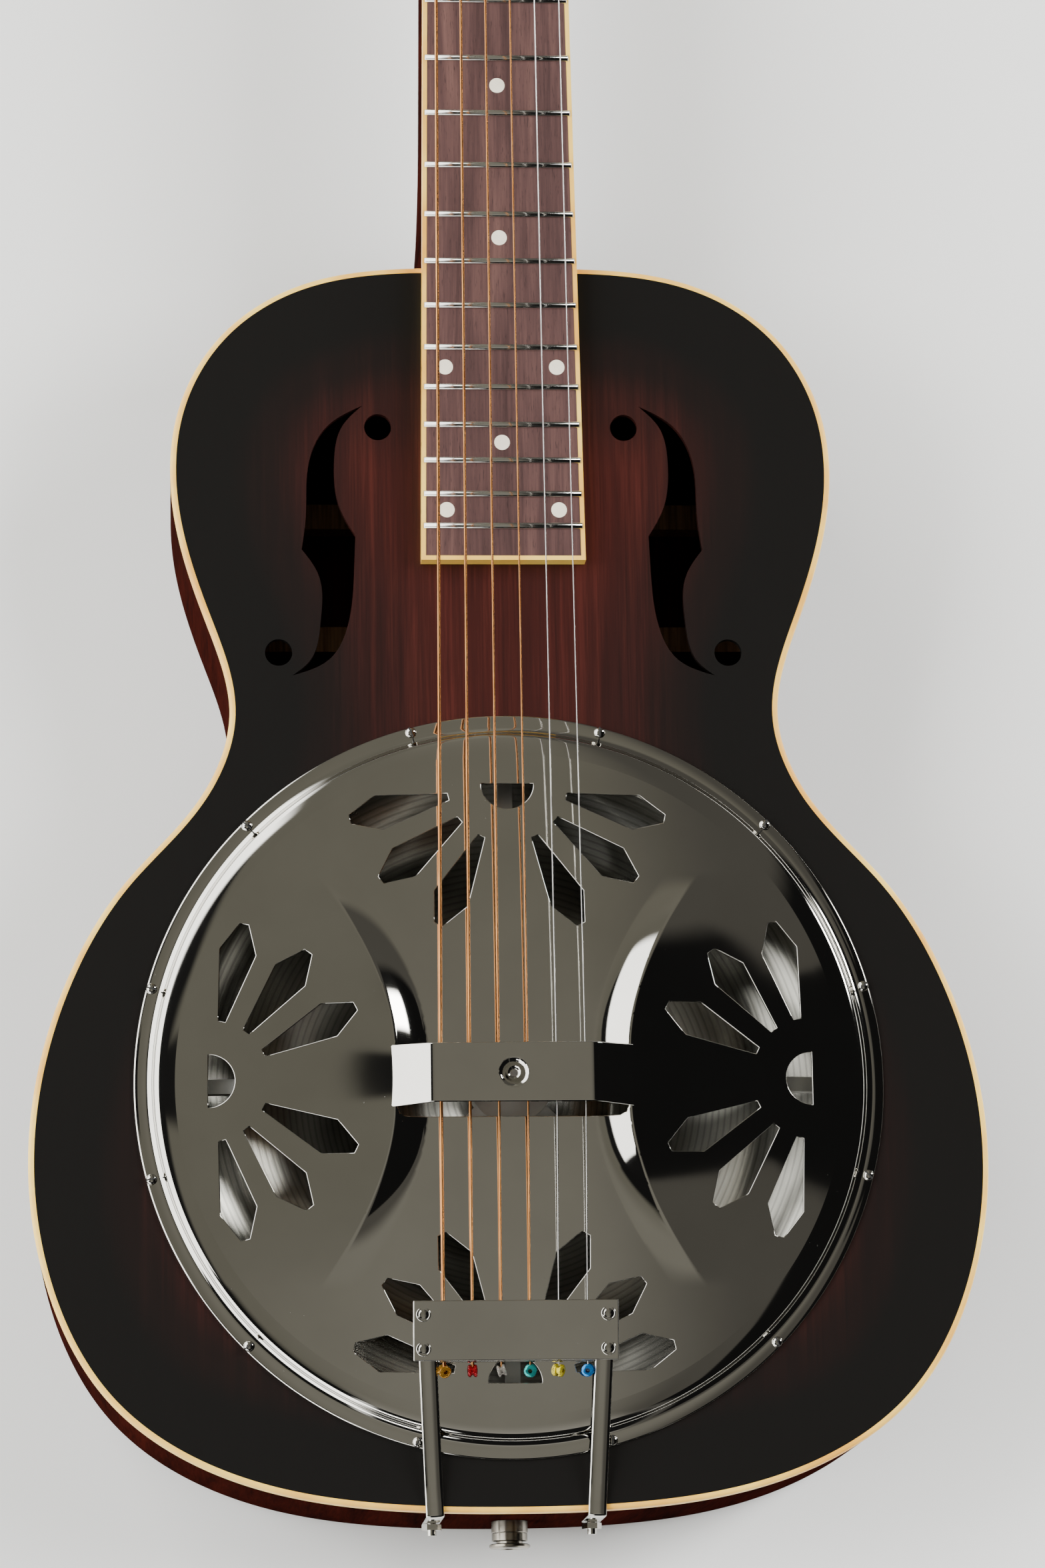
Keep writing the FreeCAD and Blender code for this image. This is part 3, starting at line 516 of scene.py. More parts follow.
def raw_wood():
    s = Shade("inner_wood")
    fine = s.noise(s.place((1, 0.05, 1)), 800, 4)
    s.set(Base_Color=s.ramp(fine, (0.3, srgb(120, 84, 54)), (0.7, srgb(176, 134, 92))), Roughness=0.75)
    s.bump(fine, 0.0001, 0.4)
    return s.material


def cream(name="cream_binding", pale=srgb(250, 210, 102), deep=srgb(224, 164, 64)):
    s = Shade(name)
    where = s.place()
    tone = s.mix(s.ramp(s.noise(where, 24, 4), (0.35, 0.0), (0.65, 1.0)), deep, pale)
    s.set(Base_Color=tone, Roughness=0.34, Coat_Weight=0.1, Coat_Roughness=0.2)
    s.put(s.out, "Subsurface Weight", 0.12)
    s.put(s.out, "Subsurface Radius", (0.002, 0.0012, 0.0006))
    s.put(s.out, "Subsurface Scale", 0.5)
    s.bump(s.noise(where, 500, 3), 0.00003, 0.3)
    return s.material


def rosewood():
    s = Shade("rosewood")
    fine = s.noise(s.place((1, 0.03, 1)), 1300, 6, 0.65)
    band = s.noise(s.place((1, 0.06, 1)), 130, 4, 0.6, 0.8)
    tone = s.ramp(s.math("MULTIPLY_ADD", band, 0.6, s.math("MULTIPLY", fine, 0.4)),
                  (0.28, srgb(46, 32, 32)), (0.5, srgb(76, 54, 52)), (0.74, srgb(104, 76, 70)))
    pores = s.noise(s.place((1, 0.07, 1)), 2600, 2, 0.7)
    tone = s.mix(s.ramp(pores, (0.60, 0.0), (0.70, 0.7)), tone, srgb(30, 20, 20))
    s.set(Base_Color=tone, Roughness=0.42)
    s.put(s.out, "Specular IOR Level", 0.4)
    s.bump(pores, 0.0001, 0.5)
    return s.material


def pearl_dot():
    s = Shade("cream_marker")
    where = s.place()
    s.set(Base_Color=s.mix(s.noise(where, 150, 4, 0.6, 1.0), srgb(224, 214, 190), srgb(248, 240, 222)),
          Roughness=0.25, Coat_Weight=0.4)
    return s.material


def wound_bronze():
    s = Shade("bronze_wound")
    y = s.split(s.place())[1]
    turn = s.math("SINE", s.math("MULTIPLY", y, 2 * math.pi / 0.00042))
    cloud = s.ramp(s.noise(s.place(), 60), (0.3, 0.0), (0.7, 1.0))
    tone = s.mix(cloud, (0.50, 0.20, 0.06), (0.63, 0.30, 0.11))
    s.set(Base_Color=tone, Metallic=1.0, Roughness=0.22)
    s.bump(turn, 0.00005, 0.6)
    return s.material


def plain(name, colour, rough=0.3, metal=0.0, vary=0.12, coat=0.0, scale=90):
    s = Shade(name)
    where = s.place()
    low = tuple(c * (1 - vary) for c in colour)
    s.set(Base_Color=s.mix(s.noise(where, scale, 4), low, colour), Roughness=rough, Metallic=metal,
          Coat_Weight=coat)
    s.bump(s.noise(where, 700, 3), 0.00002, 0.2)
    return s.material


def ball_colours():
    """Anodised string balls, one colour each from the bass side."""
    s = Shade("coloured_balls")
    x = s.split(s.place())[0]
    at = s.math("MULTIPLY_ADD", x, 1 / 0.0640, 0.5)
    made = s.node("ValToRGB", {"Fac": at})
    made.color_ramp.interpolation = "CONSTANT"
    colours = [srgb(214, 160, 60), srgb(200, 36, 48), srgb(208, 204, 196), srgb(40, 186, 180), srgb(228, 214, 60),
               srgb(48, 150, 224)]
    points = made.color_ramp.elements
    while len(points) < 6:
        points.new(0.5)
    for i, colour in enumerate(colours):
        points[i].position = i / 6
        points[i].color = (*colour, 1)
    tone = s.mix(s.noise(s.place(), 300), made.outputs[0], tuple(1.0 for _ in range(3)), "MULTIPLY")
    s.set(Base_Color=tone, Metallic=0.75, Roughness=0.22, Coat_Weight=0.5)
    return s.material


NICKEL = nickel()
PARTS = {
    "nickel_plate": NICKEL,
    "top_sunburst": top_finish(),
    "body_mahogany": body_wood(dark=srgb(16, 9, 8), light=srgb(54, 19, 14), gloss=0.5),
    "inner_wood": raw_wood(),
    "cream_binding": cream(),
    "rosewood": rosewood(),
    "cream_marker": pearl_dot(),
    "bronze_wound": wound_bronze(),
    "spun_aluminium": spun_aluminium(),
    "cast_aluminium": cast_aluminium(),
    "plain_steel": polished_metal("plain_steel", (0.78, 0.77, 0.75), 0.16, 0.05),
    "fret_wire": polished_metal("fret_wire", (0.80, 0.79, 0.75), 0.12, 0.05),
    "steel": polished_metal("steel", (0.55, 0.55, 0.56), 0.25, 0.1),
    "maple": body_wood("maple", srgb(150, 112, 70), srgb(196, 158, 112), (1, 0.3, 0.05), 0.4),
    "black_veneer": body_wood("black_veneer", srgb(12, 10, 10), srgb(30, 22, 22), (1, 0.05, 1), 0.12),
    "black_marker": plain("black_marker", srgb(26, 24, 24), 0.3),
    "bone": plain("bone", srgb(228, 218, 190), 0.35, vary=0.08),
    "coloured_balls": ball_colours(),
    "brass": plain("brass", (0.75, 0.55, 0.26), 0.3, 1.0),
    "black_cable": plain("black_cable", srgb(22, 22, 22), 0.6),
}
SLOT_OF = {p["node"]: p["material_slot"] for p in frame["record"]["subparts"]}

for name, node in frame["nodes"].items():
    node.data.materials.clear()
    node.data.materials.append(PARTS[SLOT_OF[name]])
    node.data.shade_smooth()
    node.data.set_sharp_from_angle(angle=math.radians(32))

# ------------------------------------------------------------------ body

HALF = [(0.0, 318.9), (46.0, 318.2), (77.0, 311.8), (106.5, 292.5), (124.2, 260.5), (126.6, 228.6), (114.5, 181.2),
        (104.6, 141.0), (116.5, 108.5), (143.6, 77.5), (167.2, 36.5), (179.8, -20.0), (174.8, -69.2),
        (149.2, -118.8), (103.0, -147.8), (52.0, -158.3), (0.0, -160.3)]
OUTLINE = HALF + [(-x, y) for x, y in HALF[-2:0:-1]]
DEPTH = 85.0
PLATE_T = 3.0
BIND_W = 2.2
BIND_H = 5.5
WELL_R = 134.5


def circle(radius, count, x=0.0, y=0.0):
    a = np.linspace(0, 2 * math.pi, count, endpoint=False)
    return np.stack([x + radius * np.cos(a), y + radius * np.sin(a)], 1)


def open_spline(points, count):
    """Natural cubic through the points, count places, last one left out."""
    p = np.asarray(points, float)
    s = np.concatenate([[0], np.cumsum(np.linalg.norm(np.diff(p, axis=0), axis=1))])
    n = len(p)
    m = np.eye(n)
    right = np.zeros((n, 2))
    for i in range(1, n - 1):
        a, b = s[i] - s[i - 1], s[i + 1] - s[i]
        m[i, i - 1:i + 2] = a, 2 * (a + b), b
        right[i] = 6 * ((p[i + 1] - p[i]) / b - (p[i] - p[i - 1]) / a)
    bend = np.linalg.solve(m, right)
    u = np.linspace(0, s[-1], count, endpoint=False)
    i = np.clip(np.searchsorted(s, u, "right") - 1, 0, n - 2)
    h = (s[i + 1] - s[i])[:, None]
    a = (s[i + 1] - u)[:, None] / h
    b = 1 - a
    return a * p[i] + b * p[i + 1] + h * h / 6 * ((a ** 3 - a) * bend[i] + (b ** 3 - b) * bend[i + 1])


F_RUNS = [
    [(53.2, 263.4), (67.1, 254.9), (74.0, 240.5), (75.2, 220.0), (76.9, 206.3)],
    [(76.9, 206.3), (70.6, 196.5), (69.8, 178.0), (74.0, 162.6), (80.8, 156.8)],
    [(80.8, 156.8), (66.3, 163.4), (59.2, 177.5), (56.9, 197.0), (56.3, 211.8)],
    [(56.3, 211.8), (62.3, 223.0), (64.3, 240.0), (61.2, 254.9), (53.2, 263.4)],
]


def build_body():
    pos, inward = closed_spline(OUTLINE, 560)
    slot = np.vstack([open_spline(run, 26) for run in F_RUNS])
    holes = [circle(WELL_R, 240)]
    for side in (1, -1):
        holes.append(slot * [side, 1])
        for x, y in ((47.4, 254.8), (85.9, 165.8)):
            holes.append(circle(5.2, 40, side * x, y))
    flat, tris = flat_region(pos + inward * (BIND_W - 0.02), holes, 6.0)
    n = len(flat)
    verts = np.vstack([np.column_stack([flat, np.full(n, DEPTH)]),
                       np.column_stack([flat, np.full(n, DEPTH - PLATE_T)])])
    faces = tris.tolist() + (tris[:, ::-1] + n).tolist() + [[b, a, a + n, b + n] for a, b in rim_edges(tris)]
    top = add_piece("soundboard_wood", verts, faces, PARTS["top_sunburst"], "top_sunburst",
                    replaces=["soundboard"])
    edge = top.data.attributes.new("edge_mm", "FLOAT", "POINT")
    edge.data.foreach_set("value", np.tile(loop_distance(flat, pos), 2).astype(np.float32))

    bind = outline_ring([(BIND_W, DEPTH - BIND_H), (0, DEPTH - BIND_H), (-0.05, DEPTH - 1.6), (0.15, DEPTH - 0.8),
                         (0.55, DEPTH - 0.25), (1.1, DEPTH), (BIND_W, DEPTH + 0.02)])
    add_piece("binding_top", *bind, PARTS["cream_binding"], "cream_binding", replaces=["top_binding"], sharp=50)
    low = DEPTH - BIND_H
    side = outline_ring([(3.2, PLATE_T), (0, PLATE_T), (0, low - 0.02), (3.2, low - 0.02)])
    add_piece("side_walls", *side, PARTS["body_mahogany"], "body_mahogany",
              replaces=["side_bass", "side_treble", "tail_strip"])
    back = outline_ring([(0, PLATE_T), (0, 2.0), (0.3, 1.1), (0.9, 0.4), (1.9, 0.0)], closed=False, caps=True)
    add_piece("back_panel", *back, PARTS["back_wood"], "body_mahogany", replaces=["back_plate"], sharp=50)


PARTS["back_wood"] = body_wood("back_wood", srgb(26, 14, 12), srgb(70, 28, 20), (1, 0.02, 1), 0.16)
build_body()

# ------------------------------------------------------------------ cover plate

DOME_SPAN = 130.5
DOME_EDGE = 5.2
DOME_CROWN = 14.0
LOBE_H = 5.6
LOBE_HALF = 78.0
LOBE_OUT = 122.0
LOBE_WALL = 13.0
GUARD_H = 27.0
GUARD_W = 22.0
GUARD_HALF = 43.6


def crease(y):
    return GUARD_HALF + 22.0 * (np.maximum(y - GUARD_W / 2, 0.0) / 58.0) ** 1.8


def cover_height(x, y):
    """Height of the pressed plate above the soundboard."""
    r = np.hypot(x, y)
    base = DOME_EDGE + (DOME_CROWN - DOME_EDGE) * (1 - np.minimum(1.0, r / DOME_SPAN) ** 2)
    fade = 1 - 0.3 * smooth((-y - 24) / 26)
    x, y = np.abs(x), np.minimum(np.abs(y), LOBE_HALF)
    crest = crease(y)
    lift = LOBE_H * (1 - (y / LOBE_HALF) ** 2) ** 1.2 * fade
    rise = np.clip((x - crest + LOBE_WALL) / LOBE_WALL, 0.0, 1.0)
    rise = rise ** 1.6
    reach = np.sqrt(LOBE_OUT ** 2 - y ** 2)
    fall = np.clip((x - crest) / np.maximum(reach - crest, 1.0), 0.0, 1.0)
    return base + lift * np.where(x < crest, rise, (1 - fall) ** 2)


def cut_loops():
    loops = [np.array([(-40, -14.7), (40, -14.7), (42.1, -13.8), (43, -11.7), (43, 9), (42.1, 11.1),
                       (40, 12), (-40, 12), (-42.1, 11.1), (-43, 9), (-43, -11.7), (-42.1, -13.8)], float)]
    c = 113.2
    a = np.linspace(math.pi / 2, 3 * math.pi / 2, 26)
    moon = np.stack([c + 10 * np.cos(a), 10 * np.sin(a)], 1)
    petal = np.array([(23, -1.4), (50, -6.9), (61, -1.7), (61, 1.7), (50, 6.9), (23, 1.4)], float)
    for quarter in range(4):
        t = math.pi / 2 * quarter
        turn = np.array([[math.cos(t), math.sin(t)], [-math.sin(t), math.cos(t)]])
        loops.append(moon @ turn)
        for angle in (26, 52, 77):
            for s in (-1, 1):
                b = math.pi + math.radians(s * angle)
                spin = np.array([[math.cos(b), math.sin(b)], [-math.sin(b), math.cos(b)]])
                loops.append((petal @ spin + [c, 0]) @ turn)
    return [densify(loop, 2.0) for loop in loops]


def build_cover():
    join_r = 125.5
    ring = circle(join_r, 300)
    y = np.linspace(-77, 77, 120)
    lines = []
    for side in (1, -1):
        for shift in (-LOBE_WALL, -2.2, -1.0, 0.0, 0.8, 2.0):
            lines.append(np.stack([side * (crease(np.abs(y)) + shift), y], 1))
    dome, dome_faces, dome_normals = sheet(ring, cut_loops(), 1.7, lambda x, y: TOP + cover_height(x, y), 1.2, lines,
                                           0.24, False)
    z0 = float(cover_height(np.array([0.0]), np.array([join_r]))[0])
    over = [(join_r, z0), (128.5, 5.36)]
    for slope in np.radians(np.arange(14, 61, 4.6)):
        over.append((133.68 - 3.6 * (0.866 - math.sin(slope)), 3.0 + 3.6 * (math.cos(slope) - 0.5)))
    for slope in np.radians(np.arange(52.5, -1, -7.5)):
        over.append((136.8 - 3.6 * math.sin(slope), 1.2 + 3.6 * (1 - math.cos(slope))))
    over += [(140.3, 1.2), (140.8, 1.0), (141.0, 0.5), (140.8, 0.02)]
    under = [(136.6, 0.0), (134.6, 0.6), (133.2, 1.9), (132.2, 3.0), (130.8, 3.5), (128.5, 4.1), (join_r, z0 - 1.2)]
    rim, rim_faces = lathe([(r, TOP + z) for r, z in over + under], 360)
    rim_faces = [f[::-1] for f in rim_faces[:-2]]
    add_piece("cover_dome", dome, dome_faces, NICKEL, "nickel_plate", replaces=["cover_plate"],
              normals=dome_normals)
    add_piece("cover_rim", rim, rim_faces, NICKEL, "nickel_plate", sharp=60)

    def strap_height(x, y):
        drop = 0.625 * 0.8 * np.log1p(np.exp((np.abs(x) - 31.0) / 0.8))
        rho = np.hypot(x, y)
        return TOP + GUARD_H - drop - 3.2 * (1 - smooth((rho - 1.4) / 4.3))

    half = GUARD_W / 2
    right = [(-30, -half), (30, -half), (38, -half - 0.3), (47, -half - 0.6), (47, half + 0.6), (38, half + 0.3)]
    outer = densify(np.array(right + [(-x, -y) for x, y in right[1:]] + [(-30, -half)][:0], float), 1.0)
    strap, strap_faces, strap_normals = sheet(outer, [circle(1.4, 28)], 0.8, strap_height, 1.4, soft=0.45)
    add_piece("hand_guard", strap, strap_faces, NICKEL, "nickel_plate", normals=strap_normals)


build_cover()


def build_screws():
    parts = []
    for k in range(12):
        a = math.radians(15 + 30 * k)
        x, y = 138.9 * math.cos(a), 138.9 * math.sin(a)
        z = TOP + 1.15
        head = lathe([(2.1, z), (2.1, z + 0.3), (1.9, z + 0.8), (1.45, z + 1.2), (0.8, z + 1.4), (0.02, z + 1.5)],
                     32, centre=(x, y, 0))
        parts.append(head)
    heads = merged(parts)
    add_piece("cover_screw_heads", *heads, NICKEL, "nickel_plate", replaces=["cover_screws"], sharp=60)
    # Near-black bars over the heads: painted shade for the recess of each screw slot.
    slots = []
    for k in range(12):
        a = math.radians(15 + 30 * k)
        x, y = 138.9 * math.cos(a), 138.9 * math.sin(a)
        v, f = block(-1.95, 1.95, -0.25, 0.25, 0, 0.5)
        t = math.radians(40 + 25 * k)
        spun = np.column_stack([v[:, 0] * math.cos(t) - v[:, 1] * math.sin(t) + x,
                                v[:, 0] * math.sin(t) + v[:, 1] * math.cos(t) + y, v[:, 2] + TOP + 2.27])
        slots.append((spun, f))
    add_piece("cover_screw_slots", *merged(slots), PARTS["dark_slot"], "nickel_plate")


# Near-black material of the slot bars: painted shade inside the screw slots.
PARTS["dark_slot"] = plain("dark_slot", (0.05, 0.05, 0.05), 0.5, 0.6)
build_screws()

# ------------------------------------------------------------------ cone


def build_cone():
    rim, t = 72.0, 0.8
    over = [(133.5, rim + t), (127.0, rim + t), (125.8, rim + t - 0.3), (124.6, rim - 1.0)]
    steps = 30
    over += [(124.6 + (56.0 - 124.6) * k / steps, rim - 1.0 + (36.5 - rim + 1.0) * k / steps + 0.9 *
              math.sin(math.pi * k / steps)) for k in range(1, steps + 1)]
    over += [(53.5, 35.1), (50.5, 34.8), (45.5, 34.8), (42.5, 35.1), (40.0, 36.5), (11.0, 66.0), (2.2, 66.0)]
    under = [(2.2, 65.2), (10.6, 65.2), (39.2, 36.2), (42.4, 34.0), (53.6, 34.0), (56.8, 36.2), (125.4, rim - 1.2),
             (126.4, rim), (133.5, rim)]
    verts, faces = lathe(over + under, 220, closed=True)
    add_piece("cone_sheet", verts, [f[::-1] for f in faces], PARTS["spun_aluminium"], "spun_aluminium",
              replaces=["cone"], sharp=50)


build_cone()

# ------------------------------------------------------------------ strings

NUT_Y, NUT_Z, SADDLE_Z = 637.0, 101.0, 105.5
BALL_Y, BALL_Z = -109.3, 96.0
HEAD_Y, HEAD_TURN = 643.0, math.radians(12.0)
POST_U, POST_V = (26.5, 28.0, 29.5), (38.0, 80.0, 122.0)
RADII = (0.71, 0.58, 0.46, 0.36, 0.23, 0.20)


def on_head(u, v, w):
    return np.array([u, HEAD_Y + v * math.cos(HEAD_TURN) + w * math.sin(HEAD_TURN),
                     DEPTH - v * math.sin(HEAD_TURN) + w * math.cos(HEAD_TURN)])


def build_strings():
    for k, r in enumerate(RADII):
        n = 6 - k
        share = (k - 2.5) / 2.5
        u, v = (-POST_U[k], POST_V[k]) if k < 3 else (POST_U[5 - k], POST_V[5 - k])
        side = 1 if u > 0 else -1
        turn_r = 3.1 + r
        path = [np.array([share * 27 * 0.985, BALL_Y, BALL_Z]), np.array([share * 27, 0.0, SADDLE_Z + r]),
                np.array([share * 22.25, NUT_Y + 1.7, NUT_Z + r])]
        line = [path[0]]
        for a, b in zip(path, path[1:]):
            line += [a + (b - a) * t for t in np.linspace(0, 1, 60)[1:]]
        touch = on_head(u - side * turn_r, v, 12.6)
        line += [path[-1] + (touch - path[-1]) * t for t in np.linspace(0, 1, 20)[1:]]
        for j in range(1, 3 * 28):
            a = 2 * math.pi * j / 28
            line.append(on_head(u - side * turn_r * math.cos(a), v + turn_r * math.sin(a),
                                12.6 - 2.05 * r * a / (2 * math.pi)))
        slot = "plain_steel" if n < 3 else "bronze_wound"
        add_piece("string_wire_%d" % n, *tube(line, r, 12), PARTS[slot], slot, replaces=["string_%d" % n])


build_strings()


def build_balls():
    parts = []
    facing = [(0.35, -0.45, 0.8), (1, 0.0, 0.15), (1, 0.25, 0.1), (-0.15, -0.3, 0.93), (0.85, -0.2, 0.45),
              (-0.2, -0.25, 0.95)]
    for k in range(6):
        x = (k - 2.5) / 2.5 * 27 * 0.985
        v, f = lathe([(0.85, -1.6), (1.9, -1.6), (2.3, -1.3), (2.3, -0.8), (1.6, -0.4), (1.6, 0.4), (2.3, 0.8),
                      (2.3, 1.3), (1.9, 1.6), (0.85, 1.6)], 32, closed=True)
        axis = unit(np.array(facing[k]))
        across = unit(np.cross(axis, [0.0, 1.0, 0.0]))
        turned = v @ np.array([across, np.cross(axis, across), axis])
        parts.append((turned + [x, BALL_Y + 0.3, BALL_Z + 0.2], f))
    add_piece("string_ball_ends", *merged(parts), PARTS["coloured_balls"], "coloured_balls",
              replaces=["string_balls"], sharp=45)


build_balls()

# ------------------------------------------------------------------ tailpiece and jack

TAIL_TOP, TAIL_LOW = 102.0, 99.2


def plate_z(y):
    return TAIL_LOW + (TAIL_TOP - TAIL_LOW) * (y + 105.5) / 22.0


def build_tail():
    verts, faces = block(-38, 38, -105.5, -83.5, -1.3, 0)
    verts[:, 2] += plate_z(verts[:, 1])
    plate = add_piece("tail_plate", verts, faces, NICKEL, "nickel_plate", replaces=["tailpiece"], sharp=30)
    rounded(plate, 0.45, 4)
    verts, faces = block(-28.8, 28.8, -105.9, -104.6, 95.4, 98.6)
    rounded(add_piece("tail_lip", verts, faces, NICKEL, "nickel_plate", sharp=30), 0.45, 4)
    verts, faces = block(-37.6, 37.6, -84.9, -83.6, 99.2, 101.2)
    rounded(add_piece("tail_front_roll", verts, faces, NICKEL, "nickel_plate", sharp=30), 0.3, 3)

    line = [(-88.0, 99.6), (-107.0, 97.4), (-150.0, 87.9), (-154.5, 87.1), (-157.0, 86.9)]
    for a in np.radians(np.arange(90, 181, 15)):
        line.append((-160.75 + 1.4 * math.cos(a), 85.5 + 1.4 * math.sin(a)))
    line.append((-162.15, 52.0))
    line = np.array(line)
    along = unit(np.gradient(line, axis=0))
    up = np.stack([-along[:, 1], along[:, 0]], 1) * -1
    section = [(-3.2, -1.5), (-3.36, -0.7), (-3.34, -0.52), (-3.28, -0.43)]
    section += [(u, -0.36 * (u / 3.3) ** 2) for u in np.linspace(-3.2, 3.2, 13)]
    section += [(3.28, -0.43), (3.34, -0.52), (3.36, -0.7), (3.2, -1.5)]
    m = len(section)
    verts = np.array([(u, y + n[0] * w, z + n[1] * w) for (y, z), n in zip(line, up) for u, w in section])
    faces = [[i * m + j, i * m + (j + 1) % m, (i + 1) * m + (j + 1) % m, (i + 1) * m + j]
             for i in range(len(line) - 1) for j in range(m)]
    faces += [list(range(m))[::-1], list(range((len(line) - 1) * m, len(line) * m))]
    wall = -160.65
    turn = math.atan2(33.4 - 30.0, -87 - wall)
    parts = []
    for s in (-1, 1):
        c, k = math.cos(turn * s), -math.sin(turn * s)
        y = verts[:, 1] - wall
        spun = np.column_stack([verts[:, 0] * c - y * k + s * 30.0, verts[:, 0] * k + y * c + wall, verts[:, 2]])
        parts.append((spun, faces))
    add_piece("tail_legs", *merged(parts), NICKEL, "nickel_plate", replaces=["tailpiece_legs"], sharp=60)

    parts = []
    for y in (-88.6, -101.2):
        for x in (-34.2, 34.2):
            ring = [(2.75, -0.3), (2.75, 0.1), (2.62, 0.25), (2.35, 0.3), (2.15, 0.15), (2.0, 0.12), (1.7, 0.3),
                    (0.9, 0.45), (0.02, 0.5)]
            parts.append(lathe([(r, plate_z(y) + z) for r, z in ring], 36, centre=(x, y, 0)))
    add_piece("tail_rivet_heads", *merged(parts), NICKEL, "nickel_plate", replaces=["tailpiece_rivets"], sharp=60)

    # The jack pieces take the darker nickel, whose dark base colour is painted shade.
    for name, old, profile in (
            ("jack_collar", "jack_nut", [(6.1, 0.2), (6.9, 0.2), (6.9, 4.3), (6.6, 4.6), (6.1, 4.6)]),
            ("jack_barrel", "output_jack",
             [(3.25, -20.0), (6.0, -20.0), (6.0, 4.7), (6.75, 4.8), (6.75, 7.4), (6.4, 7.7), (5.0, 7.8), (5.0, 8.5),
              (7.0, 8.6), (7.75, 9.0), (7.75, 9.7), (7.2, 10.3), (5.6, 10.5), (3.5, 10.5), (3.25, 10.2)])):
        v, f = lathe(profile, 64, closed=True)
        turned = np.column_stack([v[:, 0], -160.3 - v[:, 2], v[:, 1] + 43.0])
        add_piece(name, turned, f, PARTS["satin_nickel"], "nickel_plate", replaces=[old], sharp=35)


# Darker copy of the nickel for the jack: the satin roughness is real, the dark base colour is painted shade for the
# dark surroundings it reflects.
PARTS["satin_nickel"] = polished_metal("satin_nickel", (0.34, 0.315, 0.27), 0.2, 0.06)
build_tail()
build_balls()

# ------------------------------------------------------------------ frets

BOARD_TOP = DEPTH + 7.0


def half_width(y):
    return 29.9 + 0.013 * (319.5 - y)


def build_frets():
    parts = []
    section = [(-1.25, 0.0), (-1.2, 0.35), (-0.95, 0.75), (-0.5, 1.0), (0, 1.08), (0.5, 1.0), (0.95, 0.75),
               (1.2, 0.35), (1.25, 0.0)]
    for n in range(1, 20):
        y = 635.0 * 2 ** (-n / 12) + 2
        half = half_width(y) - 0.75
        xs = [-half, -half + 0.5, half - 0.5, half]
        verts, m = [], len(section)
        for i, x in enumerate(xs):
            low = 0.45 if i in (0, 3) else 1.0
            verts += [(x, y + a, BOARD_TOP - 0.01 + b * low) for a, b in section]
        faces = []
        for i in range(3):
            faces += [[i * m + j, i * m + j + 1, (i + 1) * m + j + 1, (i + 1) * m + j] for j in range(m - 1)]
        faces += [list(range(m))[::-1], list(range(3 * m, 4 * m))]
        parts.append((np.array(verts), [f[::-1] for f in faces]))
    add_piece("fret_wires", *merged(parts), PARTS["fret_wire"], "fret_wire", replaces=["frets"], sharp=50)


build_frets()

# ------------------------------------------------------------------ floor, light, camera


def build_stage():
    size = 12.0
    mesh = bpy.data.meshes.new("floor")
    mesh.from_pydata([(-size, -size, 0), (size, -size, 0), (size, size, 0), (-size, size, 0)], [], [(0, 1, 2, 3)])
    floor = bpy.data.objects.new("floor", mesh)
    floor.location.z = -0.0002
    bpy.context.scene.collection.objects.link(floor)
    s = Shade("floor_paint")
    where = s.place()
    s.set(Base_Color=s.mix(s.noise(where, 3, 3), (0.90, 0.90, 0.88), (0.94, 0.94, 0.92)), Roughness=0.8)
    mesh.materials.append(s.material)


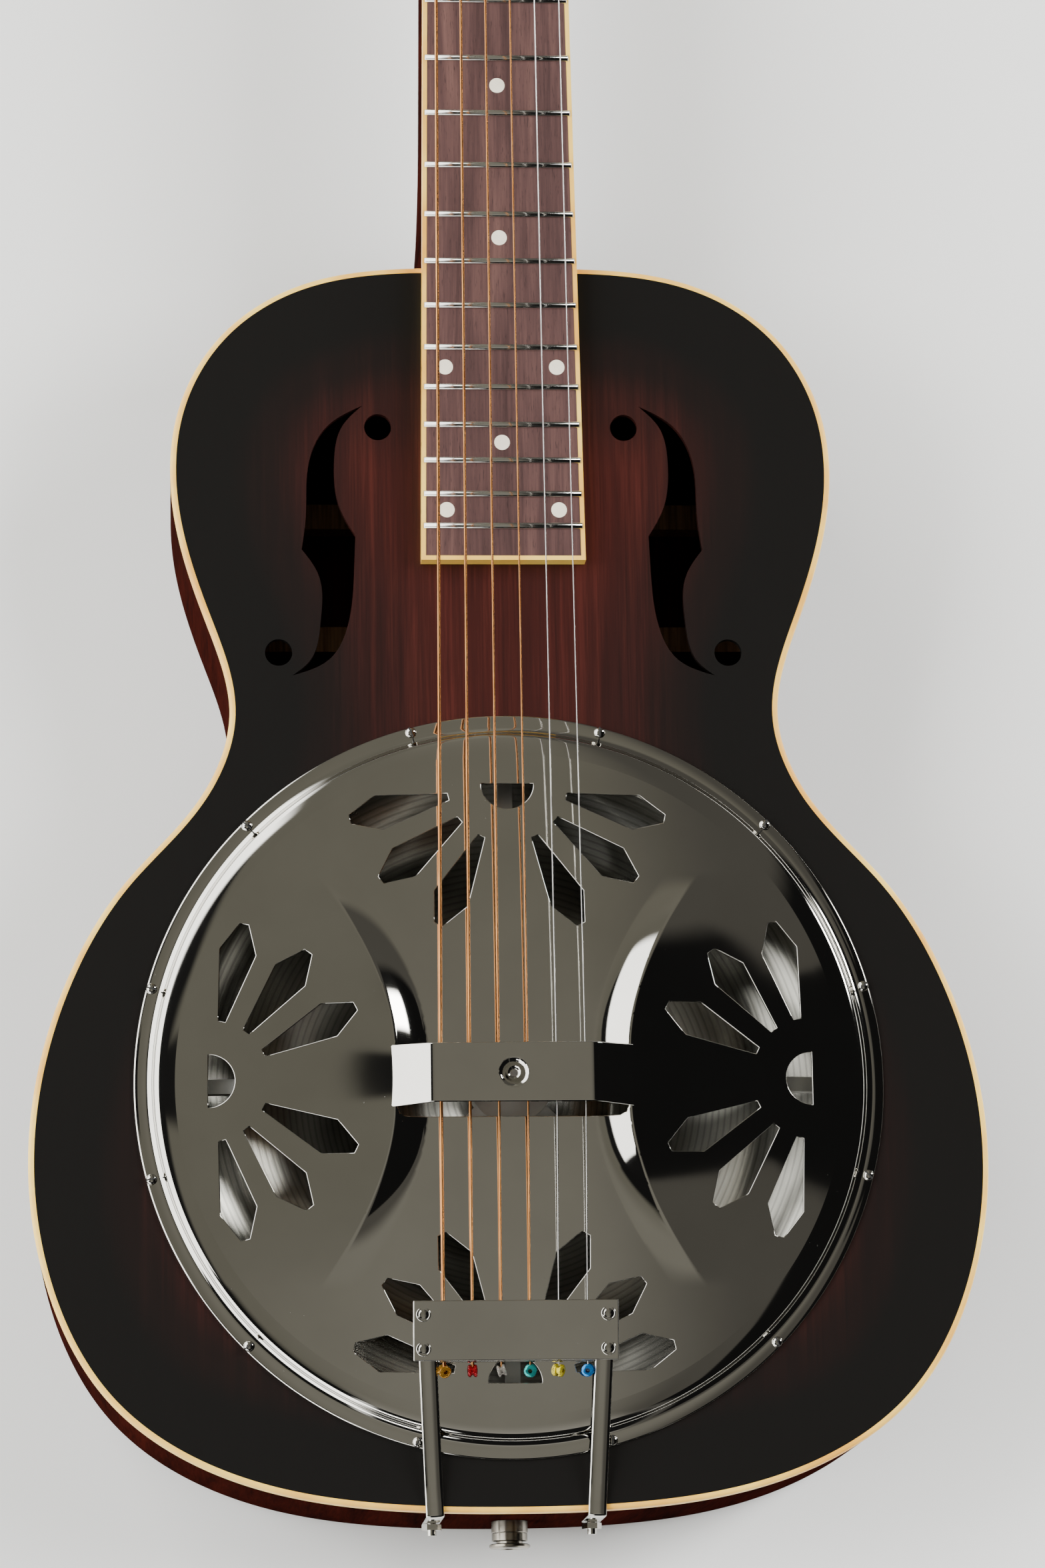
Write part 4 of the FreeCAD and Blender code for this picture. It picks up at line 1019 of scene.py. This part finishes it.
def build_world():
    world = bpy.data.worlds.new("studio")
    bpy.context.scene.world = world
    world.use_nodes = True
    tree = world.node_tree
    back = tree.nodes["Background"]

    def node(kind, inputs=None, **props):
        made = tree.nodes.new("ShaderNode" + kind)
        for key, value in props.items():
            setattr(made, key, value)
        for key, value in (inputs or {}).items():
            if isinstance(value, bpy.types.NodeSocket):
                tree.links.new(value, made.inputs[key])
            else:
                made.inputs[key].default_value = value
        return made

    def calc(how, a, b=0.0):
        return node("Math", {0: a, 1: b}, operation=how).outputs[0]

    def gate(value, low, high):
        """0 below low and 1 above high, in degrees."""
        made = node("MapRange", {"Value": value, "From Min": low, "From Max": high},
                    interpolation_type="SMOOTHSTEP")
        return made.outputs[0]

    def blend(fac, under, colour):
        made = node("Mix", {0: fac, 6: under, 7: (*colour, 1)}, data_type="RGBA")
        return made.outputs[2]

    coords = node("TexCoord")
    x, y, z = node("SeparateXYZ", {"Vector": coords.outputs["Generated"]}).outputs
    degree = 180 / math.pi
    tilt_x = calc("MULTIPLY", calc("ARCTAN2", x, z), degree)
    tilt_y = calc("MULTIPLY", calc("ARCTAN2", y, z), degree)
    around = calc("MULTIPLY", calc("ARCTAN2", y, x), degree)
    off = calc("MULTIPLY", calc("ARCCOSINE", z), degree)
    to_left = gate(calc("ABSOLUTE", around), 112, 119)
    to_right = calc("MULTIPLY", gate(around, -66, -58), gate(calc("MULTIPLY", around, -1.0), -48, -42))
    below = calc("MULTIPLY", gate(calc("MULTIPLY", around, -1.0), 55, 63), gate(around, -125, -117))
    sky = blend(gate(tilt_y, -8, 22), (0.25, 0.24, 0.205, 1), (0.20, 0.19, 0.155))
    sky = blend(gate(tilt_y, 30, 60), sky, (0.27, 0.26, 0.22))
    sky = blend(gate(calc("MULTIPLY", tilt_x, -1.0), 2, 16), sky, (0.185, 0.177, 0.145))
    sky = blend(gate(tilt_x, 6, 17), sky, (0.10, 0.095, 0.083))
    sky = blend(calc("MULTIPLY", to_right, gate(tilt_x, 21.5, 22.3)), sky, (0.010, 0.010, 0.010))
    ripple = node("TexNoise", {"Vector": coords.outputs["Generated"], "Scale": 22.0, "Detail": 4.0}).outputs[0]
    ragged_x = calc("ADD", tilt_x, calc("MULTIPLY", calc("SUBTRACT", ripple, 0.5), 5.0))
    ragged_y = calc("ADD", tilt_y, calc("MULTIPLY", calc("SUBTRACT", ripple, 0.5), 5.0))
    patch = calc("MULTIPLY", gate(ragged_x, 15.6, 16.6), gate(calc("MULTIPLY", tilt_x, -1.0), -80, -70))
    upper = gate(calc("MULTIPLY", ragged_y, -1.0), -16.6, -15.6)
    patch = calc("MULTIPLY", patch, calc("MULTIPLY", gate(ragged_y, 2.4, 3.4), upper))
    sky = blend(patch, sky, (0.010, 0.010, 0.010))
    sky = blend(calc("MULTIPLY", to_right, gate(off, 84, 90)), sky, (0.16, 0.16, 0.14))
    sky = blend(calc("MULTIPLY", below, gate(off, 18, 28)), sky, (0.40, 0.385, 0.345))
    sky = blend(calc("MULTIPLY", below, gate(off, 29, 33)), sky, (0.014, 0.014, 0.014))
    frame_left = calc("MULTIPLY", gate(off, 23, 26), gate(calc("MULTIPLY", tilt_x, -1.0), 17, 20))
    blob = calc("MULTIPLY", gate(calc("MULTIPLY", tilt_x, -1.0), 17.7, 18.3), gate(tilt_y, 5.5, 7))
    blob = calc("MULTIPLY", blob, gate(calc("MULTIPLY", tilt_y, -1.0), -13.5, -12))
    sky = blend(calc("MULTIPLY", to_left, calc("MAXIMUM", frame_left, blob)), sky, (0.015, 0.015, 0.015))
    sky = blend(calc("MULTIPLY", to_left, gate(off, 32, 35)), sky, (4.2, 4.2, 4.1))
    low_edge = calc("MULTIPLY", gate(around, -158, -155), gate(calc("MULTIPLY", around, -1.0), 112, 119))
    low_edge = calc("MULTIPLY", low_edge, gate(calc("MULTIPLY", off, -1.0), -57, -54))
    sky = blend(calc("MULTIPLY", low_edge, gate(off, 20, 26)), sky, (0.012, 0.012, 0.012))
    lamp = calc("MULTIPLY", gate(around, 21, 25), gate(calc("MULTIPLY", around, -1.0), -38, -34))
    lamp = calc("MULTIPLY", lamp, calc("MULTIPLY", gate(off, 50, 53), gate(calc("MULTIPLY", off, -1.0), -70, -67)))
    sky = blend(lamp, sky, (22.0, 22.0, 21.5))
    strip = calc("MULTIPLY", gate(calc("MULTIPLY", around, -1.0), 96, 99), gate(around, -140, -134))
    strip = calc("MULTIPLY", strip, calc("MULTIPLY", gate(off, 58, 61), gate(calc("MULTIPLY", off, -1.0), -73, -70)))
    sky = blend(strip, sky, (5.0, 5.0, 4.9))
    tree.links.new(sky, back.inputs["Color"])
    back.inputs["Strength"].default_value = 1.0


def area(name, at, aim, size_x, size_y, power, colour=(1, 1, 1)):
    data = bpy.data.lights.new(name, "AREA")
    data.shape = "RECTANGLE"
    data.size = size_x
    data.size_y = size_y
    data.energy = power
    data.color = colour
    lamp = bpy.data.objects.new(name, data)
    bpy.context.scene.collection.objects.link(lamp)
    lamp.location = at
    lamp.visible_glossy = False
    lamp.rotation_euler = (Vector(aim) - Vector(at)).to_track_quat("-Z", "Y").to_euler()
    return lamp


ROLL = math.radians(-0.859)
LENS_MM = 122.45
CAMERA_AT = (-0.124589, -0.305402, 2.061085)
CAMERA_AIM = (0.006357, 0.114512, 0.085)


def build_camera():
    data = bpy.data.cameras.new("camera")
    data.sensor_width = 36.0
    data.lens = LENS_MM
    data.clip_start = 0.01
    data.clip_end = 100.0
    camera = bpy.data.objects.new("camera", data)
    bpy.context.scene.collection.objects.link(camera)
    bpy.context.scene.camera = camera
    at = Vector(CAMERA_AT)
    aim = Vector(CAMERA_AIM)
    ahead = (aim - at).normalized()
    right = ahead.cross(Vector((0, 1, 0))).normalized()
    pose = Matrix((right, right.cross(ahead), -ahead)).transposed().to_4x4()
    camera.matrix_world = Matrix.Translation(at) @ pose @ Matrix.Rotation(ROLL, 4, "Z")


build_stage()
build_world()
LIT_POINT = (0, 0.05, 0.1)
SOFTBOX_SIZE = (0.9, 2.0)
area("softbox_left", (-1.9, 0.25, 1.45), LIT_POINT, *SOFTBOX_SIZE, 46)
area("softbox_right", (1.9, 0.45, 1.35), LIT_POINT, *SOFTBOX_SIZE, 94)
build_camera()
